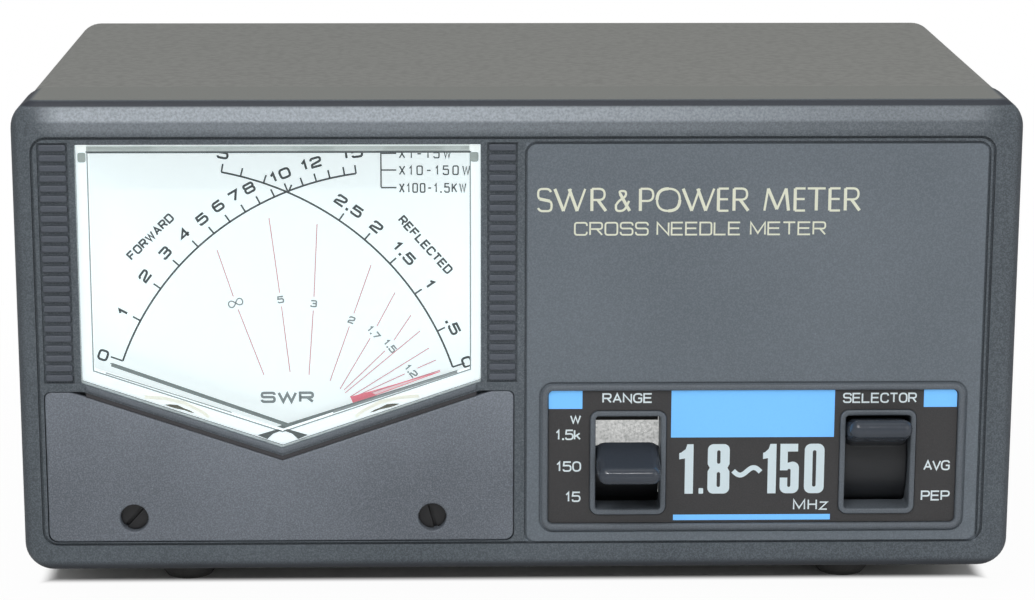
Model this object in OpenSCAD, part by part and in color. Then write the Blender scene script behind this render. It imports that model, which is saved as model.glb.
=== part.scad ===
// Cross-needle power and standing-wave meter for a radio station.
// X runs to the right, Y to the back and Z up. The feet stand on z = 0.

/* [Case] */
// Width of the front bezel
bezel_w = 155; // [150:1:170]
// Height of the front bezel
bezel_h = 75; // [74:0.5:84]
// Depth of the bezel at its top and sides
bezel_d = 12.5; // [11.5:0.5:16]
// Radius of the bezel's corners, seen from the front
bezel_r = 4.5; // [3:0.5:7]
// Radius that rounds the front edge of the bezel
bezel_edge_r = 1.8; // [1:0.1:2.5]
// Thickness of the bezel's ring
bezel_wall = 2.4; // [2.2:0.1:3]
// Thickness of the bezel's face
face_t = 2.2; // [2:0.1:2.6]
// Distance from the bezel's front to the back of the case
case_d = 87; // [84:1:110]
// Thickness of the steel sheet
sheet_t = 1.0; // [0.8:0.1:1.2]
// Step from the bezel down to the cover
cover_step = 0.3; // [0.2:0.1:0.6]
// Gap where sheets and mouldings meet
seam = 0.15; // [0.1:0.05:0.3]
// Height of the rubber feet
foot_h = 5; // [3:0.5:8]
// Radius of a foot at its top
foot_r = 4.4; // [3.5:0.1:5]
// Distance of the feet from the middle of the case
foot_x = 53; // [45:1:60]

/* [Meter] */
// Distance from the bezel's left side to the middle of the meter
meter_in = 40.7; // [40:0.1:41.5]
// Half of the width of the clear window
window_hw = 30.9; // [30:0.1:31.2]
// Distance from the window's top edge up to the bezel's top
window_margin = 7; // [6.6:0.1:8]
// Height of the point of the window's lower edge
window_tip = 20.2; // [19.5:0.1:21]
// Rise of the window's slanted lower edges over their run
window_slope = 0.34; // [0.3:0.01:0.36]
// Thickness of the clear moulding
window_t = 1.5; // [1:0.1:1.8]
// Depth of the dial's face behind the bezel's front
dial_y = 10; // [9.6:0.1:10.4]
// Distance between the two pointer pivots
pivot_gap = 36.2; // [35.5:0.1:37]
// Height of the pointer pivots
pivot_z = 15.6; // [15.2:0.1:16]
// Length of a pointer from its pivot to its tip
pointer_len = 48.2; // [46:0.1:49]
// Angle of the forward pointer at zero, from the right
forward_zero = 160.1; // [158:0.1:161]
// Turn of the forward pointer over its scale
forward_turn = 62.2; // [40:0.1:63]
// Angle of the reflected pointer at zero, from the right
reflected_zero = 17.7; // [17.5:0.1:20]
// Turn of the reflected pointer over its scale
reflected_turn = 61.5; // [40:0.1:61.5]
// Distance between the two zero-adjusting screws
zero_gap = 46.7; // [46:0.1:47.4]
// Height of the zero-adjusting screws
zero_z = 8.7; // [8.5:0.1:9.2]
// Radius of the holes for the zero-adjusting screws
zero_hole_r = 2.2; // [2:0.05:2.3]
// Number of ribs in each column beside the window
rib_count = 24; // [12:1:24]

/* [Controls] */
// Distance from the control ring's left side to the middle of the RANGE lever
range_in = 13.55; // [12.8:0.1:14.4]
// Distance from the middle of the SELECTOR lever to the control ring's right side
selector_in = 13.45; // [12.8:0.1:14.3]
// Height of the levers' pivots
lever_z = 16.8; // [16.4:0.1:17.2]
// Width of a lever's window
lever_window_w = 10.2; // [9.8:0.1:10.6]
// Height of the lever windows' lower edge
lever_window_z = 9.85; // [9:0.05:9.9]
// Height of a lever window
lever_window_h = 15.15; // [15.1:0.05:16]
// Tilt of a lever from one position to the next, in degrees
lever_step = 26; // [15:0.5:26]
// Depth of the levers' pivots behind the bezel's front
lever_pivot_y = 10.8; // [10.6:0.1:11]
// Outer radius of the curved shield on a lever
shield_r = 8.8; // [8.7:0.05:8.9]
// Distance from the pivot to the middle of the finger bar
bar_reach = 15.8; // [14:0.1:18]
// Radius of the finger bar
bar_r = 1.2; // [1:0.05:1.3]
// Depth of the board that carries the switches
board_y = 17; // [16.5:0.5:20]

/* [Rear] */
// Distance between the two coaxial sockets
socket_gap = 52; // [48:1:60]
// Height of the coaxial sockets
socket_z = 38; // [36:1:42]
// Radius of a socket's threaded barrel
socket_r = 7.94; // [7.5:0.01:8.2]
// Length of a socket's barrel behind its flange
socket_len = 14.4; // [12:0.1:18]
// Side of a socket's square flange
flange_w = 25.4; // [24:0.1:26]
// Distance between a flange's screw holes
flange_pitch = 18.2; // [17.5:0.1:19]
// Thickness of a socket's flange
flange_t = 1.6; // [1.2:0.1:2]
// Radius of the hole in a socket's centre contact
contact_bore_r = 2.0; // [1.9:0.05:2.1]
// Distance of the supply jack from the middle of the case
jack_x = 58; // [55:1:64]
// Height of the supply jack
jack_z = 20; // [16:1:26]
// Radius of the hole for the supply plug
jack_bore_r = 1.8; // [1.75:0.05:1.9]

/* [Hidden] */

// small clearances
slip = 0.1;
fit = 0.05;
cut = 1;

// place of the bezel's front in the finished part's own frame
bar_front = bar_reach + bar_r - lever_pivot_y;
socket_back = case_d + flange_t + socket_len;
front_y = -(socket_back - bar_front) / 2;

// bezel details
groove_w = 0.4;
groove_d = 0.5;
cover_hw = bezel_w / 2 - cover_step;
cover_top = bezel_h - cover_step;
lip_len = 3;
lip_hw = cover_hw - sheet_t - seam;
lip_top = cover_top - sheet_t - seam;
tuck_y = bezel_d - 3.5;
meter_x = meter_in - bezel_w / 2;
window_top = bezel_h - window_margin;
panel_left = meter_x + 38.1;
panel_right = bezel_w / 2 - 5.2;
panel_bottom = 4.9;
panel_top = window_top + 0.3;
meter_left = 3.2 - bezel_w / 2;
meter_top = window_top + 1.1;
rib_w = 4.6;
rib_h = 1.0;
rib_r = 0.5;
rib_pocket_d = 0.5;
strip_w = 1.4;
slant = cos(atan(window_slope));
shoulder_z = window_tip + window_hw * window_slope;

// lower meter cover
lower_left = 4.0 - bezel_w / 2;
lower_right = panel_left - 2.0;
lower_bottom = 4.9;
lower_shoulder_z = 29.15;
strip_gap = 0.65;
rib_first_z = window_top - 0.4;
rib_pitch = (rib_first_z - lower_shoulder_z - 2.294) / (rib_count - 1);
lower_t = 1.5;
lower_ledge = 0.7;
zero_boss_r = 2.9;
zero_boss_t = 1.5;

// control plate
control_left = panel_left + 2.35;
control_right = panel_right - 2.5;
control_bottom = 6.54;
control_top = 30.15;
ring_w = 1.0;
ring_h = 0.5;
rim_w = 0.85;
rim_h = 0.3;
ledge_d = 5.0;
plate_t = 0.5;
range_x = control_left + range_in;
selector_x = control_right - selector_in;
between_x = (range_x + selector_x) / 2;
window_mid_z = lever_window_z + lever_window_h / 2;

// bosses and screws
boss_r = 3;
boss_bore_r = 1.1;
screw_r = 1.05;
screw_head_r = 2.4;
screw_head_t = 1.6;
meter_boss_r = 2.0;
meter_boss_x = 34.2;
meter_boss_z = [11, window_top - 3];
meter_ear_y = 11.5;
board_left = panel_left + 1.7;
board_right = panel_right - 0.3;
board_low = 4.2;
board_high = 38;
board_t = 1.6;
board_boss = [[board_left + 5, 34.5], [board_right - 5, 34.5], [between_x, 8]];

// movements
pivot_x = pivot_gap / 2;
zero_x = zero_gap / 2;
case_wall = 1.25;
cup_r = 12.2;
cup_inner_r = 11.2;
cup_back = 28;
magnet_r = 5.2;
magnet_front = 13.7;
magnet_back = 22.7;
ring_outer_r = 11.0;
ring_inner_r = 7.6;
web_w = 3;
web_end = sqrt(ring_inner_r * ring_inner_r - web_w * web_w / 4) - slip;
coil_inner = 5.7;
coil_outer = 6.9;
coil_end_gap = 0.5;
coil_end_t = 0.8;
coil_w = 3;
shaft_r = 0.6;
bridge_y = 5.0;
bridge_t = 1.0;
bridge_w = 4.6;
bridge_reach = 11.7;
bridge_angle = 30;
forward_y = 6.95;
reflected_y = 8.5;
needle_t = 0.3;
needle_hw = 0.15;
spring_pitch = 0.85;
spring_turns = 3;
spring_w = 0.2;
spring_h = 0.3;
spring_start_r = 1.3;
front_spring_y = 6.3;
arm_y = 4.1;
arm_t = 0.5;
arm_ring_r = 3.0;
jewel_r = 1.8;
stud_r = 0.4;
zero_pin_r = 0.5;
zero_pin_offset = 0.6;
slot_clear = 0.15;
zero_dx = zero_x - pivot_x;
zero_dz = pivot_z - zero_z;
zero_reach = sqrt(zero_dx * zero_dx + zero_dz * zero_dz);
zero_angle = -atan2(zero_dz, zero_dx);
stop_pin_r = 0.5;
stop_reach = 6.5;
tail_len = 9;
tail_hw = 0.8;
stop_turn = asin((stop_pin_r + tail_hw + 0.25) / stop_reach);

// levers
shield_t = 0.8;
shield_top = 18.7;
shield_low = 87;
lever_w = lever_window_w - 0.4;
hub_r = 2.2;
pin_r = 1.0;
lever_arm_w = 3;
lever_arm_t = 1.5;
lever_arm_drop = 20;
lever_tail = 4.2;
root_high = 2.6;
frame_front = 4.8;
frame_t = 0.6;
frame_hw = lever_window_w / 2 + frame_t;
frame_half_h = 5.9;
frame_slot = 1.5;
wafer_t = 1.3;
rivet_t = 0.15;

// chassis and coupler
chassis_hw = cover_hw - sheet_t - slip;
chassis_top = cover_top - sheet_t - slip;
flange_h = 12;
rear_y = case_d - sheet_t;
inner_rear_y = rear_y - sheet_t;
coupler_hw = 44;
coupler_front = 60;
coupler_low = 18;
coupler_high = 56;
coupler_t = 1.0;
lid_lap = 3;
line_y = 76;
line_r = 2.0;
contact_r = 3.2;
insulator_r = 5.6;
toroid_in = 4.5;
toroid_w = 7;
winding_t = 0.7;
toroid_out = rear_y - coupler_t - line_y - winding_t - 0.3;
coupler_board_z = 23;
foot_nut_r = 2.6;
foot_y = [bezel_d + foot_nut_r * cos(30) + 0.2, 76];
foot_head_z = foot_h * 0.5;
cover_screw_y = [28, 76];
cover_screw_z = 8;
bezel_screw_x = [5.2 - bezel_w / 2, 0, bezel_w / 2 - 5.2];
bezel_screw_y = bezel_d - 1.5;
bezel_block_hw = 2.6;
bezel_block_z = 8;
jack_r = 3.0;
jack_nut_r = 4.6;
flat_head_t = 0.9;
flat_head_r = 2.2;
trimmer_w = 6;
trimmer_x = [board_left + 2.2, range_x + 6.4, between_x + 4.2, selector_x - 8.35, selector_x + 5.05];

// colours, as the photograph shows them
plastic = [0.353, 0.384, 0.416];
cover_paint = [0.45, 0.46, 0.44];
lower_grey = [0.42, 0.44, 0.47];
clear = [0.92, 0.97, 0.98, 0.35];
white_case = [0.93, 0.95, 0.95];
dial_white = [0.94, 0.98, 0.985];
label_black = [0.25, 0.25, 0.27];
needle_dark = [0.15, 0.16, 0.18];
knob_grey = [0.22, 0.24, 0.27];
bright_zinc = [0.82, 0.82, 0.80];
brass = [0.80, 0.66, 0.36];
copper = [0.72, 0.40, 0.22];
steel = [0.62, 0.63, 0.65];
black_steel = [0.08, 0.08, 0.09];
rubber = [0.27, 0.27, 0.28];
board_green = [0.14, 0.33, 0.20];
board_tan = [0.66, 0.50, 0.28];
ferrite = [0.16, 0.15, 0.15];
ptfe = [0.95, 0.95, 0.93];
trimmer_blue = [0.16, 0.34, 0.66];

// ---------- helpers ----------

// moves a shape from the bezel's frame to the finished part's frame
module place() {
    translate([0, front_y, foot_h]) children();
}

// turns a shape that stands on Z so that it points to the back, and starts it at a depth y
module along_y(x, y, z) {
    translate([x, y, z]) rotate([-90, 0, 0]) children();
}

// a flat plate with an outline in X and Z, from depth y over a thickness t
module plate(y, t) {
    translate([0, y + t, 0]) rotate([90, 0, 0]) linear_extrude(t) children();
}

module rod(x, y, z, r, len) {
    along_y(x, y, z) cylinder(r = r, h = len, $fn = 48);
}

function arc(cx, cz, r, a0, a1, n) =
    [for (i = [0:n]) [cx + r * cos(a0 + (a1 - a0) * i / n), cz + r * sin(a0 + (a1 - a0) * i / n)]];

function round_box(x0, z0, x1, z1, r) = concat(
    arc(x1 - r, z1 - r, r, 0, 90, 6),
    arc(x0 + r, z1 - r, r, 90, 180, 6),
    arc(x0 + r, z0 + r, r, 180, 270, 6),
    arc(x1 - r, z0 + r, r, 270, 360, 6));

// outline of the window, drawn in by a distance on every side
function window_outline(inset) = [
    [meter_x - window_hw + inset, window_top - inset],
    [meter_x - window_hw + inset, shoulder_z + inset / slant - inset * window_slope],
    [meter_x, window_tip + inset / slant],
    [meter_x + window_hw - inset, shoulder_z + inset / slant - inset * window_slope],
    [meter_x + window_hw - inset, window_top - inset]];

// outline of the lower meter cover, drawn in by a distance on every side
// the lower edge of the strip under the window, and where it meets the shoulders
function strip_tip(inset, gap) = window_tip - (strip_w + gap + inset) / slant;
function strip_reach(inset, gap) = (lower_shoulder_z - inset - strip_tip(inset, gap)) / window_slope;

function lower_outline(inset, gap = 0) = concat(
    arc(lower_right - inset - 1, lower_bottom + inset + 1, 1, 270, 360, 4),
    arc(lower_right - inset - 1, lower_shoulder_z - inset - 1, 1, 0, 90, 4),
    [[meter_x + strip_reach(inset, gap), lower_shoulder_z - inset],
        [meter_x, strip_tip(inset, gap)],
        [meter_x - strip_reach(inset, gap), lower_shoulder_z - inset]],
    arc(lower_left + inset + 1, lower_shoulder_z - inset - 1, 1, 90, 180, 4),
    arc(lower_left + inset + 1, lower_bottom + inset + 1, 1, 180, 270, 4));

// a screw with a pan head that points towards -Z; its head's seat is at z = 0
module screw(r, len, head_r, head_t) {
    cylinder(r = r, h = len, $fn = 32);
    difference() {
        translate([0, 0, -head_t]) cylinder(r = head_r, h = head_t, $fn = 32);
        translate([0, 0, -head_t - cut]) cross_recess(head_r * 0.62, head_t * 0.6 + cut);
    }
}

// a screw with a flat head that points towards -Z; the head's outer face is at z = 0
module flat_screw(r, len) {
    difference() {
        union() {
            cylinder(r = r, h = len, $fn = 32);
            cylinder(r1 = flat_head_r, r2 = r, h = flat_head_t, $fn = 32);
        }
        translate([0, 0, -cut]) cross_recess(flat_head_r * 0.6, 0.7 + cut);
    }
}

// the hole that a flat screw's head sinks into
module flat_seat(r) {
    translate([0, 0, -cut]) cylinder(r = flat_head_r + slip, h = cut + 0.02, $fn = 32);
    cylinder(r1 = flat_head_r + slip, r2 = r, h = flat_head_t + slip, $fn = 32);
    cylinder(r = r, h = 3, $fn = 32);
}

module cross_recess(reach, depth) {
    for (turn = [0, 90]) {
        rotate([0, 0, turn]) translate([-reach, -reach * 0.22, 0]) cube([2 * reach, reach * 0.44, depth]);
    }
}

// a closed groove in the front face, along a rounded box
module face_groove(x0, z0, x1, z1, r) {
    plate(-cut, cut + groove_d) difference() {
        polygon(round_box(x0 - groove_w / 2, z0 - groove_w / 2, x1 + groove_w / 2, z1 + groove_w / 2,
            r + groove_w / 2));
        polygon(round_box(x0 + groove_w / 2, z0 + groove_w / 2, x1 - groove_w / 2, z1 - groove_w / 2,
            r - groove_w / 2));
    }
}

// ---------- front ----------

// a block with a round-cornered front face and rounded front edges
module bezel_blank() {
    half = bezel_w / 2;
    intersection() {
        plate(0, bezel_d) polygon(round_box(-half, 0, half, bezel_h, bezel_r));
        // side view: rounds the top and bottom front edges
        translate([-half - cut, 0, 0]) rotate([90, 0, 90]) linear_extrude(bezel_w + 2 * cut)
            polygon(concat(arc(bezel_edge_r, bezel_edge_r, bezel_edge_r, 180, 270, 6),
                [[bezel_d + cut, 0], [bezel_d + cut, bezel_h]],
                arc(bezel_edge_r, bezel_h - bezel_edge_r, bezel_edge_r, 90, 180, 6)));
        // top view: rounds the front edges at the sides
        translate([0, 0, -cut]) linear_extrude(bezel_h + 2 * cut)
            polygon(concat(arc(half - bezel_edge_r, bezel_edge_r, bezel_edge_r, 270, 360, 6),
                [[half, bezel_d + cut], [-half, bezel_d + cut]],
                arc(-half + bezel_edge_r, bezel_edge_r, bezel_edge_r, 180, 270, 6)));
    }
}

module bezel_cavity() {
    difference() {
        plate(face_t, bezel_d) polygon(round_box(-bezel_w / 2 + bezel_wall, bezel_wall,
            bezel_w / 2 - bezel_wall, bezel_h - bezel_wall, bezel_r - 1.5));
        for (x = bezel_screw_x) {
            translate([x - bezel_block_hw, tuck_y - 1, 0])
                cube([2 * bezel_block_hw, bezel_d - tuck_y + 1, bezel_block_z]);
        }
    }
}

// the lip at the back of the bezel that the cover slides over
module bezel_lip() {
    plate(bezel_d - 1, lip_len + 1) difference() {
        polygon(round_box(-lip_hw, bezel_wall, lip_hw, lip_top, bezel_r - 1));
        polygon(round_box(-bezel_w / 2 + bezel_wall + 0.3, bezel_wall - 4,
            bezel_w / 2 - bezel_wall - 0.3, bezel_h - bezel_wall - 0.3, bezel_r - 1.5));
    }
}

module rib_column(middle) {
    for (i = [0:rib_count - 1]) {
        z = rib_first_z - i * rib_pitch;
        translate([middle - rib_w / 2 + 0.2, rib_pocket_d, z]) rotate([0, 90, 0])
            cylinder(r = rib_r, h = rib_w - 0.4, $fn = 12);
    }
}

module rib_pocket(middle) {
    low = rib_first_z - (rib_count - 1) * rib_pitch - rib_pitch / 2;
    plate(-cut, cut + rib_pocket_d) translate([middle - rib_w / 2, low])
        square([rib_w, rib_first_z + rib_pitch / 2 - low]);
}

module lever_window(middle, grow, y, depth) {
    plate(y, depth) polygon(round_box(middle - lever_window_w / 2 - grow, lever_window_z - grow,
        middle + lever_window_w / 2 + grow, lever_window_z + lever_window_h + grow, 0.5 + grow));
}

module front_bezel() {
    color(plastic) place() difference() {
        union() {
            difference() {
                union() {
                    bezel_blank();
                    bezel_lip();
                }
                bezel_cavity();
                // where the chassis plate tucks under
                translate([-chassis_hw + 1, tuck_y, -cut])
                    cube([2 * chassis_hw - 2, bezel_d, cut + sheet_t + seam]);
                // openings of the meter
                plate(-cut, face_t + 2 * cut) polygon(window_outline(-slip));
                plate(-cut, face_t + 2 * cut) polygon(lower_outline(lower_ledge, strip_gap));
                plate(-cut, lower_t + cut) polygon(lower_outline(-slip));
                // decoration
                for (side = [-1, 1]) {
                    rib_pocket(meter_x + side * (window_hw + 3.4));
                }
                face_groove(panel_left, panel_bottom - 0.4, panel_right + 0.6, meter_top, 2);
                // pocket of the control plate
                plate(-cut, cut + plate_t + slip) polygon(round_box(control_left + ring_w,
                    control_bottom + ring_w, control_right - ring_w, control_top - ring_w, 0.8));
            }
            for (side = [-1, 1]) {
                rib_column(meter_x + side * (window_hw + 3.4));
            }
            // raised ring around the control plate
            plate(-ring_h, ring_h + 0.2) difference() {
                polygon(round_box(control_left, control_bottom, control_right, control_top, 1.8));
                polygon(round_box(control_left + ring_w, control_bottom + ring_w,
                    control_right - ring_w, control_top - ring_w, 0.8));
            }
            // rims and tunnels of the lever windows
            for (x = [range_x, selector_x]) {
                lever_window(x, rim_w, -rim_h, ledge_d + rim_h);
            }
            // bosses for the board and the meter case
            for (p = board_boss) {
                rod(p[0], face_t - 0.5, p[1], boss_r, board_y - face_t + 0.5);
            }
            for (side = [-1, 1], z = meter_boss_z) {
                rod(meter_x + side * meter_boss_x, face_t - 0.5, z, meter_boss_r,
                    meter_ear_y - face_t + 0.5);
            }
        }
        for (x = [range_x, selector_x]) {
            lever_window(x, 0, -rim_h - cut, ledge_d + rim_h + 2 * cut);
        }
        for (p = board_boss) {
            rod(p[0], face_t + 3, p[1], boss_bore_r, board_y);
        }
        for (side = [-1, 1], z = meter_boss_z) {
            rod(meter_x + side * meter_boss_x, face_t + 1, z, boss_bore_r, meter_ear_y);
        }
        for (x = bezel_screw_x) {
            translate([x, bezel_screw_y, 0]) cylinder(r = 1.35, h = 6.8, $fn = 32);
        }
    }
}

module lower_meter_cover() {
    color(lower_grey) place() difference() {
        union() {
            plate(0.1, lower_t - 0.1) polygon(lower_outline(0, strip_gap));
            for (side = [-1, 1]) {
                rod(meter_x + side * zero_x, lower_t - 0.2, zero_z, zero_boss_r, zero_boss_t + 0.2);
            }
        }
        for (side = [-1, 1]) {
            rod(meter_x + side * zero_x, -cut, zero_z, zero_hole_r, lower_t + zero_boss_t + 2 * cut);
        }
    }
}

module meter_window() {
    wall_back = dial_y - 0.2;
    slant_back = 3.5;
    color(clear) place() difference() {
        plate(0.1, wall_back - 0.1) polygon(window_outline(0));
        plate(window_t + 0.1, wall_back) polygon(window_outline(window_t));
        // the lower edges are low, so that the pointers pass behind them
        plate(slant_back, wall_back) polygon([
            [meter_x - window_hw + window_t, shoulder_z + 2],
            [meter_x - window_hw - cut, shoulder_z + 2],
            [meter_x - window_hw - cut, window_tip - 3],
            [meter_x + window_hw + cut, window_tip - 3],
            [meter_x + window_hw + cut, shoulder_z + 2],
            [meter_x + window_hw - window_t, shoulder_z + 2]]);
    }
}

module control_plate() {
    color(label_black) place() difference() {
        plate(slip, plate_t) polygon(round_box(control_left + ring_w + slip, control_bottom + ring_w + slip,
            control_right - ring_w - slip, control_top - ring_w - slip, 0.7));
        for (x = [range_x, selector_x]) {
            lever_window(x, rim_w + slip, -cut, face_t + 2 * cut);
        }
    }
}

// ---------- meter ----------

module meter_case() {
    left = meter_x - window_hw - slip - case_wall;
    right = meter_x + window_hw + slip + case_wall;
    low = pivot_z - cup_r - 0.2;
    top = window_top + 0.2 + case_wall;
    front = face_t + 0.05;
    terminal_x = 7;
    color(white_case) place() difference() {
        union() {
            plate(front, meter_ear_y + case_wall - front) polygon([[left, low], [right, low],
                [right, top], [left, top]]);
            for (side = [-1, 1]) {
                rod(meter_x + side * pivot_x, meter_ear_y, pivot_z, cup_r, cup_back - meter_ear_y);
            }
            for (side = [-1, 1], z = meter_boss_z) {
                plate(meter_ear_y, case_wall) translate([meter_x + side * meter_boss_x - 2.4, z - 2.4])
                    square(4.8);
            }
        }
        difference() {
            plate(front - cut, meter_ear_y - front + cut) polygon([[left + case_wall, low + case_wall],
                [right - case_wall, low + case_wall], [right - case_wall, top - case_wall],
                [left + case_wall, top - case_wall]]);
            // posts that carry the dial
            for (side = [-1, 1], z = [36, 62]) {
                rod(meter_x + side * 24, dial_y + 0.6, z, 2.4, 2);
            }
            // blocks that carry the bridges
            for (side = [-1, 1]) {
                translate([meter_x + side * pivot_x, 0, pivot_z]) mirror([side < 0 ? 1 : 0, 0, 0])
                    bridge_feet(dial_y, 3, 1.8);
            }
        }
        // the lower cover's bosses and the screws behind them
        for (side = [-1, 1]) {
            rod(meter_x + side * pivot_x, meter_ear_y - cut, pivot_z, cup_inner_r,
                cup_back - 1.5 - meter_ear_y + cut);
            for (hand = [-1, 1]) {
                rod(meter_x + side * pivot_x + hand * terminal_x, cup_back - 2, pivot_z, 1.1, 4);
            }
            rod(meter_x + side * pivot_x, cup_back - 2, pivot_z, jewel_r + fit, 4);
        }
        for (side = [-1, 1], z = meter_boss_z) {
            rod(meter_x + side * meter_boss_x, meter_ear_y - cut, z, screw_r + 0.2, 4);
        }
        // slots that let the lamps' light in
        for (x = [-14, 14]) {
            translate([meter_x + x - 4, front + 2, top - case_wall - cut]) cube([8, 5, case_wall + 2 * cut]);
        }
        // the back of the lower corner walls gives room to the bezel's bosses
        for (side = [-1, 1], z = meter_boss_z) {
            rod(meter_x + side * meter_boss_x, front - cut, z, meter_boss_r + 0.15,
                meter_ear_y - front + cut);
        }
    }
}

module dial_plate() {
    inset = 0.2;
    color(dial_white) place() plate(dial_y, 0.6) polygon([
        [meter_x - window_hw + inset, window_top - inset],
        [meter_x - window_hw + inset, shoulder_z - inset * window_slope],
        [meter_x, window_tip],
        [meter_x + window_hw - inset, shoulder_z - inset * window_slope],
        [meter_x + window_hw - inset, window_top - inset]]);
}

// puts a movement's part at its pivot; the reflected movement is the mirror image of the forward one
module movement(side) {
    place() translate([meter_x + side * pivot_x, 0, pivot_z]) mirror([side < 0 ? 1 : 0, 0, 0]) children();
}

// pointer angle at zero and at full scale, as seen in the forward movement's own frame
function rest_angle(side) = side > 0 ? forward_zero : 180 - reflected_zero;
function full_angle(side) = side > 0 ? forward_zero - forward_turn : 180 - reflected_zero - reflected_turn;
function mean_angle(side) = (rest_angle(side) + full_angle(side)) / 2;

module turned(angle) {
    rotate([0, -angle, 0]) children();
}

// pointer along +X of its own frame, then turned to its place
module pointer(side, y) {
    movement(side) turned(rest_angle(side)) difference() {
        union() {
            plate(y, needle_t) polygon([[0, -0.9], [8, -0.4], [15, -needle_hw], [pointer_len - 0.4, -needle_hw],
                [pointer_len, 0], [pointer_len - 0.4, needle_hw], [15, needle_hw], [8, 0.4], [0, 0.9]]);
            plate(y, needle_t) translate([-tail_len, -tail_hw]) square([tail_len, 2 * tail_hw]);
            // counterweight wound on the tail
            translate([-tail_len + 0.5, y + needle_t / 2, 0]) rotate([0, 90, 0])
                cylinder(r = 1.0, h = 1.6, $fn = 32);
            rod(0, y - 0.1, 0, 1.4, needle_t + 0.4);
        }
        rod(0, y - cut, 0, shaft_r, needle_t + 2 * cut);
    }
}

module forward_pointer() {
    color(needle_dark) pointer(1, forward_y);
}

module reflected_pointer() {
    color(needle_dark) pointer(-1, reflected_y);
}

// wound coil around the core magnet, in line with the pointer
module coil(side) {
    front = magnet_front - coil_end_gap - coil_end_t;
    back = magnet_back + coil_end_gap + coil_end_t;
    color(copper) movement(side) turned(rest_angle(side)) difference() {
        translate([-coil_outer, front, -coil_w / 2]) cube([2 * coil_outer, back - front, coil_w]);
        translate([-coil_inner, front + coil_end_t, -coil_w / 2 - cut])
            cube([2 * coil_inner, back - front - 2 * coil_end_t, coil_w + 2 * cut]);
    }
}

module forward_coil() {
    coil(1);
}

module reflected_coil() {
    coil(-1);
}

// the two half shafts: the front one carries the pointer, the back one runs in the rear jewel
module half_shafts(side) {
    coil_front = magnet_front - coil_end_gap - coil_end_t;
    coil_back = magnet_back + coil_end_gap + coil_end_t;
    tip = 0.5;
    rear_end = cup_back - 1.5;
    color(steel) movement(side) {
        rod(0, bridge_y + tip, 0, shaft_r, coil_front - bridge_y - tip);
        along_y(0, bridge_y + 0.1, 0) cylinder(r1 = 0.1, r2 = shaft_r, h = tip - 0.1, $fn = 48);
        rod(0, coil_back, 0, shaft_r, rear_end - coil_back - tip);
        along_y(0, rear_end - tip, 0) cylinder(r1 = shaft_r, r2 = 0.1, h = tip - 0.1, $fn = 48);
    }
}

module forward_shafts() {
    half_shafts(1);
}

module reflected_shafts() {
    half_shafts(-1);
}

// flat spiral, from near the shaft out to its stud
module hairspring(y, end_angle) {
    steps = 24;
    count = steps * spring_turns;
    inner = [for (i = [0:count]) let (a = end_angle - 360 * (count - i) / steps,
        r = spring_start_r + spring_pitch * i / steps) [r * cos(a), r * sin(a)]];
    outer = [for (i = [count:-1:0]) let (a = end_angle - 360 * (count - i) / steps,
        r = spring_start_r + spring_w + spring_pitch * i / steps) [r * cos(a), r * sin(a)]];
    plate(y, spring_h) polygon(concat(inner, outer));
}

module forward_hairspring() {
    color(brass) movement(1) hairspring(front_spring_y, zero_angle + 180);
}

module reflected_hairspring() {
    color(brass) movement(-1) hairspring(front_spring_y, zero_angle + 180);
}

module rear_hairsprings() {
    for (side = [-1, 1]) {
        color(brass) movement(side) hairspring(magnet_back + coil_end_gap + coil_end_t + 0.6, 120);
    }
}

// zero arm: turns around the front jewel, holds the hairspring's stud and meets the screw's pin
module zero_arm(side) {
    stud_reach = spring_start_r + spring_pitch * spring_turns + spring_w + stud_r + fit;
    slot_hw = zero_pin_r + slot_clear;
    slot_start = zero_reach - zero_pin_offset - zero_pin_r - 0.3;
    arm_end = zero_reach + zero_pin_offset + zero_pin_r + 1.2;
    color(brass) movement(side) union() {
        plate(arm_y, arm_t) difference() {
            union() {
                circle(r = arm_ring_r, $fn = 48);
                rotate(zero_angle) translate([0, -1.6]) square([arm_end, 3.2]);
                rotate(zero_angle + 180) translate([0, -0.9]) square([stud_reach + stud_r + 0.4, 1.8]);
            }
            circle(r = jewel_r + fit, $fn = 48);
            rotate(zero_angle) translate([slot_start, -slot_hw])
                square([2 * (zero_pin_offset + zero_pin_r + 0.3), 2 * slot_hw]);
        }
        turned(zero_angle + 180) rod(stud_reach, arm_y + arm_t / 2, 0, stud_r,
            front_spring_y + spring_h - arm_y - arm_t / 2);
    }
}

module forward_zero_arm() {
    zero_arm(1);
}

module reflected_zero_arm() {
    zero_arm(-1);
}

// slotted screw in the lower cover; the pin at its back is off its axis, towards the movement
module zero_screw(side, slot_angle) {
    head_y = 1.4;
    flange_y = lower_t + zero_boss_t + fit;
    slot_w = 0.6;
    color(black_steel) place() translate([meter_x + side * zero_x, 0, zero_z]) {
        difference() {
            rod(0, head_y, 0, zero_hole_r - 0.08, flange_y - head_y + 0.1);
            turned(slot_angle) plate(head_y - cut, cut + 0.8) translate([-3, -slot_w / 2])
                square([6, slot_w]);
        }
        rod(0, flange_y, 0, zero_hole_r + 0.5, 0.5);
        mirror([side < 0 ? 1 : 0, 0, 0]) turned(zero_angle) rod(-zero_pin_offset, flange_y + 0.4, 0,
            zero_pin_r, arm_y + arm_t + 0.1 - flange_y - 0.4);
    }
}

module forward_zero_screw() {
    zero_screw(1, 105);
}

module reflected_zero_screw() {
    zero_screw(-1, 48);
}

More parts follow.
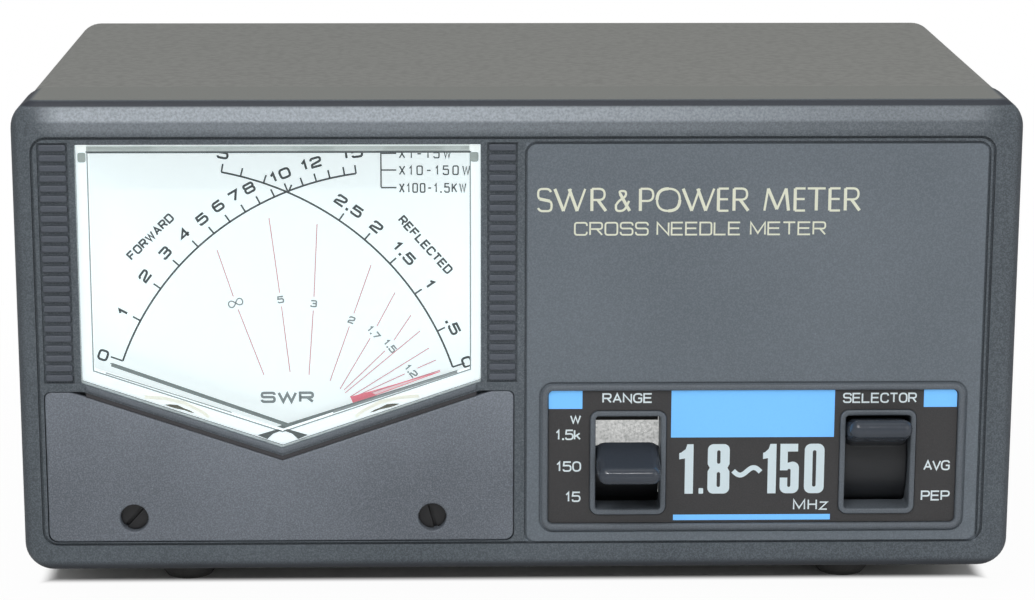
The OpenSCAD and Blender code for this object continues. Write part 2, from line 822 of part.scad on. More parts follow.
// core magnets with the webs that hold them in the pole rings, clear of the coil's turn
module core_magnets() {
    for (side = [-1, 1]) {
        color(steel) movement(side) turned(mean_angle(side) + 90) {
            rod(0, magnet_front, 0, magnet_r, magnet_back - magnet_front);
            for (end = [0, 180]) {
                turned(end) translate([magnet_r - 0.5, magnet_front, -web_w / 2])
                    cube([web_end - magnet_r + 0.5, magnet_back - magnet_front, web_w]);
            }
        }
    }
}

module pole_rings() {
    for (side = [-1, 1]) {
        color(black_steel) movement(side) difference() {
            rod(0, magnet_front, 0, ring_outer_r, magnet_back - magnet_front);
            rod(0, magnet_front - cut, 0, ring_inner_r, magnet_back - magnet_front + 2 * cut);
        }
    }
}

module bridge_feet(y, len, r) {
    for (hand = [-1, 1]) {
        turned(bridge_angle) rod(hand * bridge_reach, y, 0, r, len);
    }
}

// front bridges with the jewel screw and the pins that stop the pointer's tail
module front_bridges() {
    for (side = [-1, 1]) {
        needle_y = side > 0 ? forward_y : reflected_y;
        color(brass) movement(side) difference() {
            union() {
                turned(bridge_angle) plate(bridge_y, bridge_t) translate([-bridge_reach - 1.6,
                    -bridge_w / 2]) square([2 * bridge_reach + 3.2, bridge_w]);
                bridge_feet(bridge_y + 0.5, dial_y - bridge_y - 0.5, 1.5);
                rod(0, arm_y - 0.6, 0, jewel_r, bridge_y - arm_y + 1.0);
                rod(0, arm_y - 1.0, 0, jewel_r + 0.5, 0.9);
                for (stop = [rest_angle(side) + 180 + stop_turn, full_angle(side) + 180 - stop_turn]) {
                    turned(stop) {
                        rod(stop_reach, bridge_y, 0, stop_pin_r, needle_y + needle_t + 0.3 - bridge_y);
                        plate(bridge_y, bridge_t) translate([0, -0.9]) square([stop_reach + 0.7, 1.8]);
                    }
                }
            }
            // conical seat of the shaft's point
            rod(0, bridge_y - fit, 0, shaft_r + 0.1, 3);
        }
    }
}

module rear_jewels() {
    for (side = [-1, 1]) {
        color(brass) movement(side) {
            rod(0, cup_back - 1.5, 0, jewel_r, 1.7);
            rod(0, cup_back + 0.05, 0, jewel_r + 0.8, 0.8);
        }
    }
}

module meter_terminals() {
    for (side = [-1, 1], hand = [-1, 1]) {
        color(brass) movement(side) translate([hand * 7, 0, 0]) {
            rod(0, cup_back - 1.5, 0, 1.0, 7);
            rod(0, cup_back + 0.05, 0, 2.4, 1.4);
        }
    }
}

module meter_screws() {
    for (side = [-1, 1], z = meter_boss_z) {
        color(steel) place() translate([meter_x + side * meter_boss_x, meter_ear_y + case_wall, z])
            rotate([90, 0, 0]) screw(screw_r, 6, 2.1, 1.4);
    }
}

module meter_lamps() {
    lamp_r = 1.3;
    for (x = [-14, 14]) {
        color([1, 0.96, 0.86]) place() translate([meter_x + x, 0, bezel_h - bezel_wall - 1.55]) {
            rod(0, 6, 0, lamp_r, 4.5);
            along_y(0, 6, 0) sphere(r = lamp_r, $fn = 32);
        }
    }
}

module lamp_board() {
    color(board_tan) place() translate([meter_x - 22, 10.5, window_top + 0.2 + case_wall])
        cube([44, 0.8, bezel_h - bezel_wall - 0.3 - window_top - 0.2 - case_wall]);
}

// ---------- levers ----------

// puts a part of a lever switch at its pivot and tilts it
module at_lever(x, tilt) {
    place() translate([x, lever_pivot_y, lever_z]) rotate([-tilt, 0, 0]) children();
}

// a cylinder along X, centred
module cross_rod(r, len) {
    rotate([0, 90, 0]) cylinder(r = r, h = len, center = true, $fn = 64);
}

module lever(x, tilt) {
    bar_end = lever_w / 2 - 0.3 - bar_r;
    color(knob_grey) at_lever(x, tilt) difference() {
        union() {
            // finger bar and the blade behind it
            hull() {
                for (side = [-1, 1]) {
                    translate([side * bar_end, -bar_reach, 0]) sphere(r = bar_r, $fn = 32);
                }
                translate([-lever_w / 2, -shield_r + 0.5, -bar_r]) cube([lever_w, 0.1, bar_r + root_high]);
            }
            // curved shield that keeps the window filled
            rotate([0, 90, 0]) rotate([0, 0, 270 - shield_top]) rotate_extrude(
                angle = shield_top + shield_low, $fn = 96) translate([shield_r - shield_t, -lever_w / 2])
                square([shield_t, lever_w]);
            // arm to the hub
            rotate([lever_arm_drop, 0, 0]) translate([-lever_arm_w / 2, -shield_r + 0.4,
                -lever_arm_t / 2]) cube([lever_arm_w, shield_r - 1.9, lever_arm_t]);
            cross_rod(hub_r, lever_w);
            translate([-1.5, 1.5, -0.8]) cube([3, lever_tail - 1.5, 1.6]);
        }
        cross_rod(pin_r + fit, lever_w + 2 * cut);
    }
}

module range_lever() {
    lever(range_x, 0);
}

module selector_lever() {
    lever(selector_x, lever_step);
}

module wiper(x, tilt) {
    color(brass) at_lever(x, tilt) translate([-1.2, lever_tail, -0.5]) cube([2.4, 0.25, 1.0]);
}

module range_wiper() {
    wiper(range_x, 0);
}

module selector_wiper() {
    wiper(selector_x, lever_step);
}

// bright bracket: its face shows above the RANGE lever, its cheeks hold the pivot pin
module switch_frame(x) {
    cheek_len = board_y - lever_pivot_y + frame_front;
    color(bright_zinc) at_lever(x, 0) difference() {
        union() {
            translate([-frame_hw, -frame_front, -frame_half_h])
                cube([2 * frame_hw, frame_t, 2 * frame_half_h]);
            for (side = [-1, 1]) {
                translate([side * (frame_hw - frame_t / 2) - frame_t / 2, -frame_front, -frame_half_h])
                    cube([frame_t, cheek_len, 2 * frame_half_h]);
                translate([side * (frame_hw - frame_t / 2) - frame_t / 2, 0, -1.5])
                    cube([frame_t, cheek_len - frame_front + board_t + 0.8, 3]);
            }
        }
        translate([-lever_arm_w / 2 - 0.3, -frame_front - cut, -frame_half_h - cut])
            cube([lever_arm_w + 0.6, frame_t + 2 * cut, frame_half_h + cut + frame_slot]);
        cross_rod(pin_r + 0.01, 2 * frame_hw + 2);
    }
}

module range_switch_frame() {
    switch_frame(range_x);
}

module selector_switch_frame() {
    switch_frame(selector_x);
}

module lever_pins() {
    for (x = [range_x, selector_x]) {
        color(steel) at_lever(x, 0) {
            cross_rod(pin_r, 2 * frame_hw + 0.8);
            translate([frame_hw + 0.3, 0, 0]) cross_rod(pin_r + 0.5, 0.5);
            translate([-frame_hw - 0.3, 0, 0]) cross_rod(pin_r + 0.5, 0.5);
        }
    }
}

// spring leaves that rest above the hubs
module detent_leaves() {
    for (x = [range_x, selector_x]) {
        color(steel) at_lever(x, 0) translate([-4, -3.5, hub_r + 0.25])
            cube([2.2, board_y - lever_pivot_y + 3.5, 0.3]);
    }
}

module contact_wafers() {
    for (x = [range_x, selector_x]) {
        color(board_tan) at_lever(x, 0) {
            translate([-4.2, board_y - lever_pivot_y - wafer_t, -5.2]) cube([8.4, wafer_t, 7]);
            for (z = [-1.9, 0, 1.3]) {
                translate([-1, board_y - lever_pivot_y - wafer_t - rivet_t, z - 0.4])
                    cube([2, rivet_t + 0.1, 0.8]);
            }
        }
    }
}

// ---------- switch board ----------

module switch_board() {
    color(board_green) place() difference() {
        plate(board_y, board_t) translate([board_left, board_low])
            square([board_right - board_left, board_high - board_low]);
        for (p = board_boss) {
            rod(p[0], board_y - cut, p[1], screw_r + 0.2, board_t + 2 * cut);
        }
        for (x = [range_x, selector_x], side = [-1, 1]) {
            translate([x + side * (frame_hw - frame_t / 2) - frame_t / 2 - slip, board_y - cut,
                lever_z - 1.5 - slip]) cube([frame_t + 2 * slip, board_t + 2 * cut, 3 + 2 * slip]);
        }
    }
}

module board_screws() {
    for (p = board_boss) {
        color(steel) place() translate([p[0], board_y + board_t, p[1]]) rotate([90, 0, 0])
            screw(screw_r, 8, screw_head_r, screw_head_t);
    }
}

function board_back() = board_y + board_t;

module board_resistors() {
    for (i = [0:7]) {
        color([0.78, 0.66, 0.48]) place() translate([between_x - 10.8 + i * 3.2, board_back() + 1.1, 27])
            cylinder(r = 1.1, h = 6, $fn = 32);
    }
}

module board_trimmers() {
    // those between the levers stand only where they fit
    for (i = [0:4]) if (i != 2 || trimmer_x[3] - trimmer_x[2] > trimmer_w) {
        x = trimmer_x[i];
        color(trimmer_blue) place() translate([x, board_back(), 9]) {
            cube([trimmer_w, 5, trimmer_w]);
            rod(3, 4.5, 3, 2.2, 1.0);
        }
    }
}

module board_capacitors() {
    for (p = [[board_left + 9, 26], [between_x + 9.2, 20.5], [board_right - 9, 26]]) {
        color([0.10, 0.12, 0.22]) place() rod(p[0], board_back(), p[1], 2.5, 7);
    }
}

module board_chip() {
    color(black_steel) place() translate([between_x - 7.8, board_back(), 18.5]) {
        translate([0, 0.6, 0]) cube([10, 3.2, 6.4]);
        for (i = [0:3], z = [0, 5.9]) {
            translate([0.9 + i * 2.54, 0, z]) cube([0.5, 0.7, 0.5]);
        }
    }
}

// ---------- case ----------

module chassis() {
    bend_r = bezel_r - cover_step - sheet_t - slip;
    color(cover_paint) place() difference() {
        union() {
            // bottom, with the tongue under the bezel
            translate([-chassis_hw, bezel_d + seam, 0]) cube([2 * chassis_hw,
                rear_y - bezel_d - seam + sheet_t, sheet_t]);
            translate([-chassis_hw + 1 + seam, tuck_y + seam, 0])
                cube([2 * chassis_hw - 2 - 2 * seam, bezel_d, sheet_t]);
            // rear panel
            plate(rear_y, sheet_t) polygon(concat([[-chassis_hw, 0], [chassis_hw, 0]],
                arc(chassis_hw - bend_r, chassis_top - bend_r, bend_r, 0, 90, 8),
                arc(-chassis_hw + bend_r, chassis_top - bend_r, bend_r, 90, 180, 8)));
            // side flanges
            for (side = [-1, 1]) {
                translate([side * (chassis_hw - sheet_t / 2) - sheet_t / 2, bezel_d + lip_len + 2, 0])
                    cube([sheet_t, rear_y - bezel_d - lip_len - 2, flange_h]);
            }
        }
        for (side = [-1, 1]) {
            rod(side * socket_gap / 2, rear_y - cut, socket_z, insulator_r + 0.6, 2 * cut + sheet_t);
            for (dx = [-1, 1], dz = [-1, 1]) {
                rod(side * socket_gap / 2 + dx * flange_pitch / 2, rear_y - cut,
                    socket_z + dz * flange_pitch / 2, 1.5, 2 * cut + sheet_t);
            }
            for (y = foot_y) {
                translate([side * foot_x, y, -cut]) cylinder(r = 1.6, h = sheet_t + 2 * cut, $fn = 32);
            }
            for (y = cover_screw_y) {
                translate([side * chassis_hw, y, cover_screw_z]) rotate([0, 90, 0])
                    cylinder(r = 1.3, h = 4, center = true, $fn = 32);
            }
        }
        for (x = bezel_screw_x) {
            translate([x, bezel_screw_y, 0]) flat_seat(1.35);
        }
        rod(jack_x, rear_y - cut, jack_z, jack_r + slip, 2 * cut + sheet_t);
    }
}

function cover_outline(inset, r) = concat(
    [[cover_hw - inset, 0]],
    arc(cover_hw - inset - r, cover_top - inset - r, r, 0, 90, 8),
    arc(-cover_hw + inset + r, cover_top - inset - r, r, 90, 180, 8),
    [[-cover_hw + inset, 0]]);

module top_cover() {
    bend_r = bezel_r - cover_step;
    color(cover_paint) place() difference() {
        plate(bezel_d + seam, case_d - bezel_d - seam) polygon(concat(cover_outline(0, bend_r),
            [for (i = [19:-1:0]) cover_outline(sheet_t, bend_r - sheet_t)[i]]));
        for (side = [-1, 1], y = cover_screw_y) {
            translate([side * cover_hw, y, cover_screw_z]) rotate([0, side * -90, 0]) flat_seat(1.35);
        }
    }
}

module cover_screws() {
    for (side = [-1, 1], y = cover_screw_y) {
        color(black_steel) place() translate([side * cover_hw, y, cover_screw_z])
            rotate([0, side * -90, 0]) flat_screw(1.25, 5);
    }
}

module bezel_screws() {
    for (x = bezel_screw_x) {
        color(steel) place() translate([x, bezel_screw_y, 0]) flat_screw(1.25, 6.5);
    }
}

module rubber_feet() {
    for (side = [-1, 1], y = foot_y) {
        color(rubber) place() translate([side * foot_x, y, -foot_h]) difference() {
            union() {
                cylinder(r1 = foot_r - 0.8, r2 = foot_r - 0.2, h = 0.8, $fn = 64);
                translate([0, 0, 0.8]) cylinder(r1 = foot_r - 0.2, r2 = foot_r, h = foot_h - 0.8, $fn = 64);
            }
            translate([0, 0, -cut]) cylinder(r = 2.5, h = foot_head_z + cut, $fn = 48);
            cylinder(r = 1.6, h = foot_h + cut, $fn = 48);
        }
    }
}

module foot_screws() {
    for (side = [-1, 1], y = foot_y) {
        color(steel) place() translate([side * foot_x, y, foot_head_z - foot_h]) {
            screw(1.45, foot_h - foot_head_z + sheet_t + 1.4, 2.3, 1.4);
            // nut on the chassis
            translate([0, 0, foot_h - foot_head_z + sheet_t]) rotate(30) cylinder(r = foot_nut_r, h = 1.1, $fn = 6);
        }
    }
}

// ---------- coupler ----------

module coupler_box() {
    color(bright_zinc) place() difference() {
        translate([-coupler_hw, coupler_front + coupler_t, coupler_low])
            cube([2 * coupler_hw, rear_y - coupler_front - coupler_t, coupler_high - coupler_low]);
        translate([-coupler_hw + coupler_t, coupler_front, coupler_low + coupler_t])
            cube([2 * (coupler_hw - coupler_t), rear_y - coupler_front - coupler_t,
                coupler_high - coupler_low - 2 * coupler_t]);
        for (side = [-1, 1]) {
            rod(side * socket_gap / 2, rear_y - 3, socket_z, insulator_r + 0.6, 5);
            for (dx = [-1, 1], dz = [-1, 1]) {
                rod(side * socket_gap / 2 + dx * flange_pitch / 2, rear_y - 3,
                    socket_z + dz * flange_pitch / 2, 1.5, 5);
            }
        }
    }
}

module coupler_lid() {
    color(bright_zinc) place() difference() {
        translate([-coupler_hw - coupler_t - slip, coupler_front, coupler_low])
            cube([2 * (coupler_hw + coupler_t + slip), lid_lap + coupler_t,
                coupler_high - coupler_low]);
        translate([-coupler_hw - slip, coupler_front + coupler_t - 0.02, coupler_low - cut])
            cube([2 * (coupler_hw + slip), lid_lap + 2 * coupler_t,
                coupler_high - coupler_low + 2 * cut]);
        rod(20, coupler_front - cut, coupler_low + 8, 2.2, 3);
    }
}

// the conductor between the two sockets, with the centre contacts on its ends
module through_line() {
    color(brass) place() difference() {
        union() {
            translate([0, line_y, socket_z]) cross_rod(line_r, socket_gap + 2 * line_r);
            for (side = [-1, 1]) {
                rod(side * socket_gap / 2, line_y, socket_z, contact_r - 0.2, 4);
                rod(side * socket_gap / 2, line_y, socket_z, contact_r, socket_back - 2.5 - line_y);
            }
        }
        for (side = [-1, 1]) {
            rod(side * socket_gap / 2, socket_back - 13, socket_z, contact_bore_r, 14);
        }
    }
}

module ferrite_toroid() {
    color(ferrite) place() translate([0, line_y, socket_z]) difference() {
        cross_rod(toroid_out, toroid_w);
        cross_rod(toroid_in, toroid_w + 2 * cut);
    }
}

// the winding's turns, as wire bands round the core's section
module toroid_winding() {
    turns = 12;
    band = 0.9;
    color(copper) place() translate([0, line_y, socket_z]) for (i = [0:turns - 1]) {
        rotate([360 * i / turns + 15, 0, 0]) difference() {
            translate([-toroid_w / 2 - winding_t, -band / 2, toroid_in - winding_t])
                cube([toroid_w + 2 * winding_t, band, toroid_out - toroid_in + 2 * winding_t]);
            translate([-toroid_w / 2 - 0.02, -band, toroid_in - 0.02])
                cube([toroid_w + 0.04, 2 * band, toroid_out - toroid_in + 0.08]);
        }
    }
}

module coupler_board() {
    color(board_green) place() translate([-coupler_hw + 3, coupler_front + 3, coupler_board_z])
        difference() {
            cube([2 * coupler_hw - 6, rear_y - coupler_front - 6, board_t]);
            for (x = [4, 2 * coupler_hw - 10], y = [4, rear_y - coupler_front - 10]) {
                translate([x, y, -cut]) cylinder(r = 1.3, h = board_t + 2 * cut, $fn = 32);
            }
        }
}

module coupler_standoffs() {
    low = coupler_low + coupler_t;
    for (x = [4, 2 * coupler_hw - 10], y = [4, rear_y - coupler_front - 10]) {
        color(steel) place() translate([x - coupler_hw + 3, y + coupler_front + 3, low]) {
            cylinder(r = 2.2, h = coupler_board_z - low, $fn = 32);
            cylinder(r = 1.2, h = coupler_board_z - low + board_t + 0.3, $fn = 32);
            translate([0, 0, coupler_board_z - low + board_t]) cylinder(r = 2.1, h = 1.2, $fn = 32);
        }
    }
}

module coupler_parts() {
    floor_z = coupler_board_z + board_t;
    color([0.85, 0.72, 0.20]) place() {
        for (x = [12 - coupler_hw, coupler_hw - 14]) {
            translate([x, coupler_front + 10, floor_z]) cylinder(r = 2.6, h = 2.6, $fn = 32);
        }
        for (x = [-20, -12, 14, 22]) {
            translate([x, coupler_front + 7, floor_z + 1.0]) cross_rod(1.0, 5);
        }
        for (x = [18 - coupler_hw, coupler_hw - 20]) {
            translate([x, coupler_front + 18, floor_z]) cube([3.5, 1.6, 4]);
        }
    }
}

// ---------- rear ----------

module socket_shells() {
    flange_y = rear_y + sheet_t;
    for (side = [-1, 1]) {
        color(bright_zinc) place() translate([side * socket_gap / 2, 0, socket_z]) difference() {
            union() {
                plate(flange_y, flange_t) translate([-flange_w / 2, -flange_w / 2]) square(flange_w);
                rod(0, flange_y, 0, socket_r, flange_t + socket_len);
            }
            rod(0, flange_y - cut, 0, insulator_r + fit, flange_t + socket_len + 2 * cut);
            rod(0, socket_back - 5, 0, socket_r - 1.4, 6);
            for (dx = [-1, 1], dz = [-1, 1]) {
                rod(dx * flange_pitch / 2, flange_y - cut, dz * flange_pitch / 2, 1.6, flange_t + 2 * cut);
            }
        }
    }
}

module socket_insulators() {
    for (side = [-1, 1]) {
        color(ptfe) place() translate([side * socket_gap / 2, 0, socket_z]) difference() {
            rod(0, rear_y - 3, 0, insulator_r, socket_back - rear_y - 2);
            rod(0, rear_y - 4, 0, contact_r + fit, socket_back - rear_y + 4);
        }
    }
}

module socket_screws() {
    for (side = [-1, 1], dx = [-1, 1], dz = [-1, 1]) {
        color(steel) place() translate([side * socket_gap / 2 + dx * flange_pitch / 2,
            rear_y + sheet_t + flange_t, socket_z + dz * flange_pitch / 2])
            rotate([90, 0, 0]) {
                screw(1.4, 8, 2.6, 1.8);
                // nut inside the coupler box
                translate([0, 0, sheet_t + flange_t + coupler_t]) cylinder(r = 2.8, h = 2, $fn = 6);
            }
    }
}

module supply_jack() {
    color(black_steel) place() translate([jack_x, 0, jack_z]) difference() {
        union() {
            rod(0, rear_y - 3, 0, jack_r, 3 + sheet_t + 3.2);
            translate([-4.5, rear_y - 13, -4.5]) cube([9, 13, 9]);
            rod(0, rear_y + sheet_t, 0, jack_nut_r, 1.8);
        }
        rod(0, rear_y - 10, 0, jack_bore_r, 20);
    }
}

front_bezel();
lower_meter_cover();
meter_window();
control_plate();
meter_case();
dial_plate();
forward_pointer();
forward_coil();
forward_shafts();
forward_hairspring();
forward_zero_arm();
forward_zero_screw();
reflected_pointer();
reflected_coil();
reflected_shafts();
reflected_hairspring();
reflected_zero_arm();
reflected_zero_screw();
core_magnets();
pole_rings();
front_bridges();
rear_jewels();
rear_hairsprings();
meter_terminals();
meter_screws();
meter_lamps();
lamp_board();
range_lever();
range_wiper();
range_switch_frame();
selector_lever();
selector_wiper();
selector_switch_frame();
lever_pins();
detent_leaves();
contact_wafers();
switch_board();
board_screws();
board_resistors();
board_trimmers();
board_capacitors();
board_chip();
chassis();
top_cover();
cover_screws();
bezel_screws();
rubber_feet();
foot_screws();
coupler_box();
coupler_lid();
through_line();
ferrite_toroid();
toroid_winding();
coupler_board();
coupler_parts();
coupler_standoffs();
socket_shells();
socket_insulators();
socket_screws();
supply_jack();
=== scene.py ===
"""Cross-needle power and standing-wave meter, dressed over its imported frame."""
import math

import bmesh
import bpy
from mathutils import Matrix, Vector


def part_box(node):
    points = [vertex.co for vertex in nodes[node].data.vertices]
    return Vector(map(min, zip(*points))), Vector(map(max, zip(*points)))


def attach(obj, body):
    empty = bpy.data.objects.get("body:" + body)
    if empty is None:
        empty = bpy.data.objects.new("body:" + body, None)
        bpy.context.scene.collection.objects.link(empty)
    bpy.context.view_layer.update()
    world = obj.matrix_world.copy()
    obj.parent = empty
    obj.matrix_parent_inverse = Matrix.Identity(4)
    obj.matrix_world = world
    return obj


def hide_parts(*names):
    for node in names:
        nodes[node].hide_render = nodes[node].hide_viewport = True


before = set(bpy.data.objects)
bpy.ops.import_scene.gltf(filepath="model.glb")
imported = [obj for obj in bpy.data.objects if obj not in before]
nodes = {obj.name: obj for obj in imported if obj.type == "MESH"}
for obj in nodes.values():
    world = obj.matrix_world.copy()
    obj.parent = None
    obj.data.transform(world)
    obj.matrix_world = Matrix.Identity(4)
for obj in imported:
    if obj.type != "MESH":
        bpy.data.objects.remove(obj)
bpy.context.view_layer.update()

# ---------- the bezel's own frame: millimetres from the middle of its front, bottom edge ----------

MM = 0.001
RING_HEIGHT = 0.5  # how far the control frame stands out of the bezel's face
FACE_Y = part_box("front_bezel")[0].y + RING_HEIGHT * MM
BASE_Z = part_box("front_bezel")[0].z
METER_X, WINDOW_HALF, WINDOW_TOP, WINDOW_TIP, SLOPE = -36.8, 30.9, 68.0, 20.2, 0.34


def here(x, y, z):
    """A place of the bezel's frame, in metres of the finished part."""
    return Vector((x * MM, FACE_Y + y * MM, BASE_Z + z * MM))


# ---------- camera ----------

PHOTO_WIDTH = 1035
FOCAL_PIXELS = 2997.9
SENSOR = 36
EYE = (-10.944, -450.915, 148.937)
PITCH, YAW, ROLL = (math.radians(angle) for angle in (13.136, 1.370, 0.139))
ahead = Vector((math.sin(YAW) * math.cos(PITCH), math.cos(YAW) * math.cos(PITCH), -math.sin(PITCH)))
level = Vector((math.cos(YAW), -math.sin(YAW), 0))
upright = level.cross(ahead)
right = level * math.cos(ROLL) + upright * math.sin(ROLL)
up = upright * math.cos(ROLL) - level * math.sin(ROLL)
camera_data = bpy.data.cameras.new("camera")
camera_data.sensor_width = SENSOR
camera_data.sensor_fit = "HORIZONTAL"
camera_data.lens = FOCAL_PIXELS / PHOTO_WIDTH * SENSOR
camera_data.clip_start = 0.01
camera = bpy.data.objects.new("camera", camera_data)
bpy.context.scene.collection.objects.link(camera)
camera.matrix_world = Matrix.Translation(here(*EYE)) @ Matrix((right, up, -ahead)).transposed().to_4x4()
bpy.context.scene.camera = camera

# ---------- finishes ----------


def tint(red, green, blue):
    """A colour written as the eye reads it, 0 to 255, for a shader's socket."""
    def linear(part):
        part /= 255
        return part / 12.92 if part <= 0.04045 else ((part + 0.055) / 1.055) ** 2.4
    return (linear(red), linear(green), linear(blue), 1)


class Wire:
    """An output of a finish's node, which can be used in sums."""

    def __init__(self, finish, output):
        self.finish, self.output = finish, output

    def math(self, operation, *others):
        return self.finish.make("ShaderNodeMath", {"operation": operation}, dict(enumerate((self, *others))))

    def __add__(self, other):
        return self.math("ADD", other)

    def __mul__(self, other):
        return self.math("MULTIPLY", other)

    def __sub__(self, other):
        return self.math("SUBTRACT", other)

    def __rsub__(self, other):
        return self.finish.make("ShaderNodeMath", {"operation": "SUBTRACT"}, {0: other, 1: self})

    __radd__, __rmul__ = __add__, __mul__

    def above(self, edge, soft):
        """0 below an edge and 1 above it, over a soft step."""
        return self.finish.make("ShaderNodeMapRange", {"interpolation_type": "SMOOTHSTEP"}, {
            "Value": self, "From Min": edge - soft, "From Max": edge + soft})

    def within(self, low, high, soft):
        """1 between two edges and 0 outside them."""
        return self.above(low, soft) - self.above(high, soft)


class Finish:
    """A material with one Principled shader."""

    def __init__(self, name):
        self.material = bpy.data.materials.new(name)
        self.material.use_nodes = True
        self.tree = self.material.node_tree
        self.tree.nodes.clear()
        self.output = self.tree.nodes.new("ShaderNodeOutputMaterial")

    def make(self, kind, settings, sockets, out=0):
        node = self.tree.nodes.new(kind)
        for name, value in settings.items():
            setattr(node, name, value)
        for name, value in sockets.items():
            if isinstance(value, Wire):
                self.tree.links.new(value.output, node.inputs[name])
            else:
                node.inputs[name].default_value = value
        return Wire(self, node.outputs[out])

    def where(self):
        return self.make("ShaderNodeTexCoord", {}, {}, "Object")

    def along(self, axis):
        """The bezel's millimetres along X, Y or Z."""
        place = self.make("ShaderNodeSeparateXYZ", {}, {"Vector": self.where()}, axis)
        return (place - getattr(here(0, 0, 0), axis.lower())) * 1000

    def noise(self, scale, detail=3.0, roughness=0.55):
        return self.make("ShaderNodeTexNoise", {}, {
            "Vector": self.where(), "Scale": scale, "Detail": detail, "Roughness": roughness}, "Fac")

    def cells(self, scale, feature="F1"):
        return self.make("ShaderNodeTexVoronoi", {"feature": feature}, {
            "Vector": self.where(), "Scale": scale}, "Distance")

    def mix(self, factor, first, second):
        node = self.tree.nodes.new("ShaderNodeMix")
        node.data_type = "RGBA"
        for socket, value in ((node.inputs[0], factor), (node.inputs[6], first), (node.inputs[7], second)):
            if isinstance(value, Wire):
                self.tree.links.new(value.output, socket)
            else:
                socket.default_value = value
        return Wire(self, node.outputs[2])

    def bump(self, height, depth):
        return self.make("ShaderNodeBump", {}, {"Height": height, "Distance": depth, "Strength": 1.0})

    def shade(self, colour, roughness, metallic=0.0, bump=None, **fixed):
        sockets = {"Base Color": colour, "Roughness": roughness, "Metallic": metallic}
        if bump:
            sockets["Normal"] = bump
        sockets.update({name.replace("_", " "): value for name, value in fixed.items()})
        return self.finished(self.make("ShaderNodeBsdfPrincipled", {}, sockets))

    def finished(self, shader):
        self.tree.links.new(shader.output, self.output.inputs["Surface"])
        return self

    def sandy(self, grain, glint, fine_grain):
        """The grain of matt moulded plastic: sand, sparse glints, broad clouds and fine sparkle."""
        specks = self.cells(grain * 0.75).math("LESS_THAN", 0.17)
        specks *= self.noise(grain * 0.4, 1).above(glint, 0.05)
        cloud, fine = self.noise(35, 2).above(0.5, 0.3), self.noise(fine_grain, 2).above(0.53, 0.15)
        return self.noise(grain, 4, 0.6), specks, cloud, fine


def scaled(colour, part):
    """A darker colour of the same hue."""
    return tuple(channel * part for channel in colour[:3]) + (1,)


def moulded(name, colour, lighter, grain=2600, depth=0.00004, roughness=0.5, glint=0.55, sparkle=0.3,
            rise=0.0):
    """Matt moulded plastic; a rise paints light on it, lighter towards the lower cover's shoulders."""
    f = Finish(name)
    sand, specks, cloud, fine = f.sandy(grain, glint, grain * 1.8)
    painted_light_lift = f.along("Z").above(22, 9) * rise
    base = f.mix(cloud * 0.2 + specks * 0.2 + fine * sparkle + painted_light_lift, colour, lighter)
    return f.shade(base, roughness + sand * 0.12 - specks * 0.1, bump=f.bump(sand, depth))


def painted(name, colour, darker, roughness=0.42):
    """Paint with a small leather-like grain on sheet metal."""
    f = Finish(name)
    hills = f.cells(900, "SMOOTH_F1")
    fine = f.noise(3200, 3)
    cloud = f.noise(22, 3)
    base = f.mix(hills.above(0.45, 0.3) * 0.45 + cloud * 0.15, colour, darker)
    return f.shade(base, roughness + fine * 0.15, bump=f.bump(hills * 0.8 + fine * 0.25, 0.00009))


def metal(name, colour, roughness=0.3, grain=1500):
    f = Finish(name)
    scratches = f.noise(grain, 5, 0.7)
    tarnish = f.noise(160, 3)
    base = f.mix(tarnish.above(0.55, 0.2) * 0.35, colour, scaled(colour, 0.72))
    return f.shade(base, roughness + scratches * 0.18, 1.0, bump=f.bump(scratches, 0.000008))


def plain(name, colour, roughness=0.5, **fixed):
    """A smooth finish with only a slight unevenness."""
    f = Finish(name)
    drift = f.noise(400, 3)
    base = f.mix(drift.above(0.5, 0.25) * 0.25, colour, scaled(colour, 0.88))
    return f.shade(base, roughness + drift * 0.06, bump=f.bump(drift, 0.000004), **fixed)


def ink(name, colour, strength=0.0):
    """Printing ink; a strength makes it glow a little: painted light, as for print on the lit dial."""
    f = Finish(name)
    rough = f.noise(5000, 2)
    return f.shade(f.mix(rough.above(0.62, 0.1) * 0.18, colour, scaled(colour, 0.8)), 0.55 + rough * 0.1,
                   Emission_Color=colour, Emission_Strength=strength)


def bezel_moulding():
    """Sandy moulding: a paler panel, a duller border, painted shade on the foot, flanks and top fillet, a
    painted highlight along the top of the face and a painted lighter top face.
    """
    f = Finish("bezel_plastic")
    x, z = (f.along(axis) for axis in "XZ")
    sand, specks, cloud, fine = f.sandy(2600, 0.55, 4700)
    panel = x.within(1.15, 72.3, 0.15) * z.within(4.5, 68.3, 0.15)
    border = f.mix(x.above(30, 45), tint(72, 80, 86), tint(65, 73, 79))
    base = f.mix(panel, border, tint(100, 109, 117))
    base = f.mix(cloud * 0.15 + specks * 0.2 + fine * 0.3, base, tint(136, 145, 154))
    # Painted shade: the bottom fillet and the side faces are darkened.
    foot, flanks = 1 - z.above(1.3, 0.7), 1 - x.within(-76.5, 76.5, 0.5)
    base = f.mix(foot, base, tint(46, 51, 58))
    base = f.mix(flanks * 0.4, base, tint(44, 48, 55))
    # Painted highlight along the top of the face, weaker to the right and broken up by the sand grain.
    lit = (z.within(71.6, 73.85, 0.3) * 0.6 + z.within(69.8, 73.85, 0.9) * 0.3) * (1 - x.above(25, 45) * 0.6)
    highlight_grain = sand.above(0.5, 0.2) * 0.45 + 0.6
    base = f.mix(lit * x.within(-72, 72, 3) * highlight_grain, base, tint(192, 200, 208))
    # Painted shade on the top fillet, and a lighter, warmer top face as painted light from above.
    fillet_shade, lit_top_face = z.within(73.95, 74.72, 0.12), z.above(74.85, 0.08)
    base = f.mix(fillet_shade, base, tint(48, 53, 62))
    base = f.mix(lit_top_face, base, tint(124, 126, 122))
    return f.shade(base, 0.5 + sand * 0.12 - specks * 0.1, bump=f.bump(sand, 0.00004))


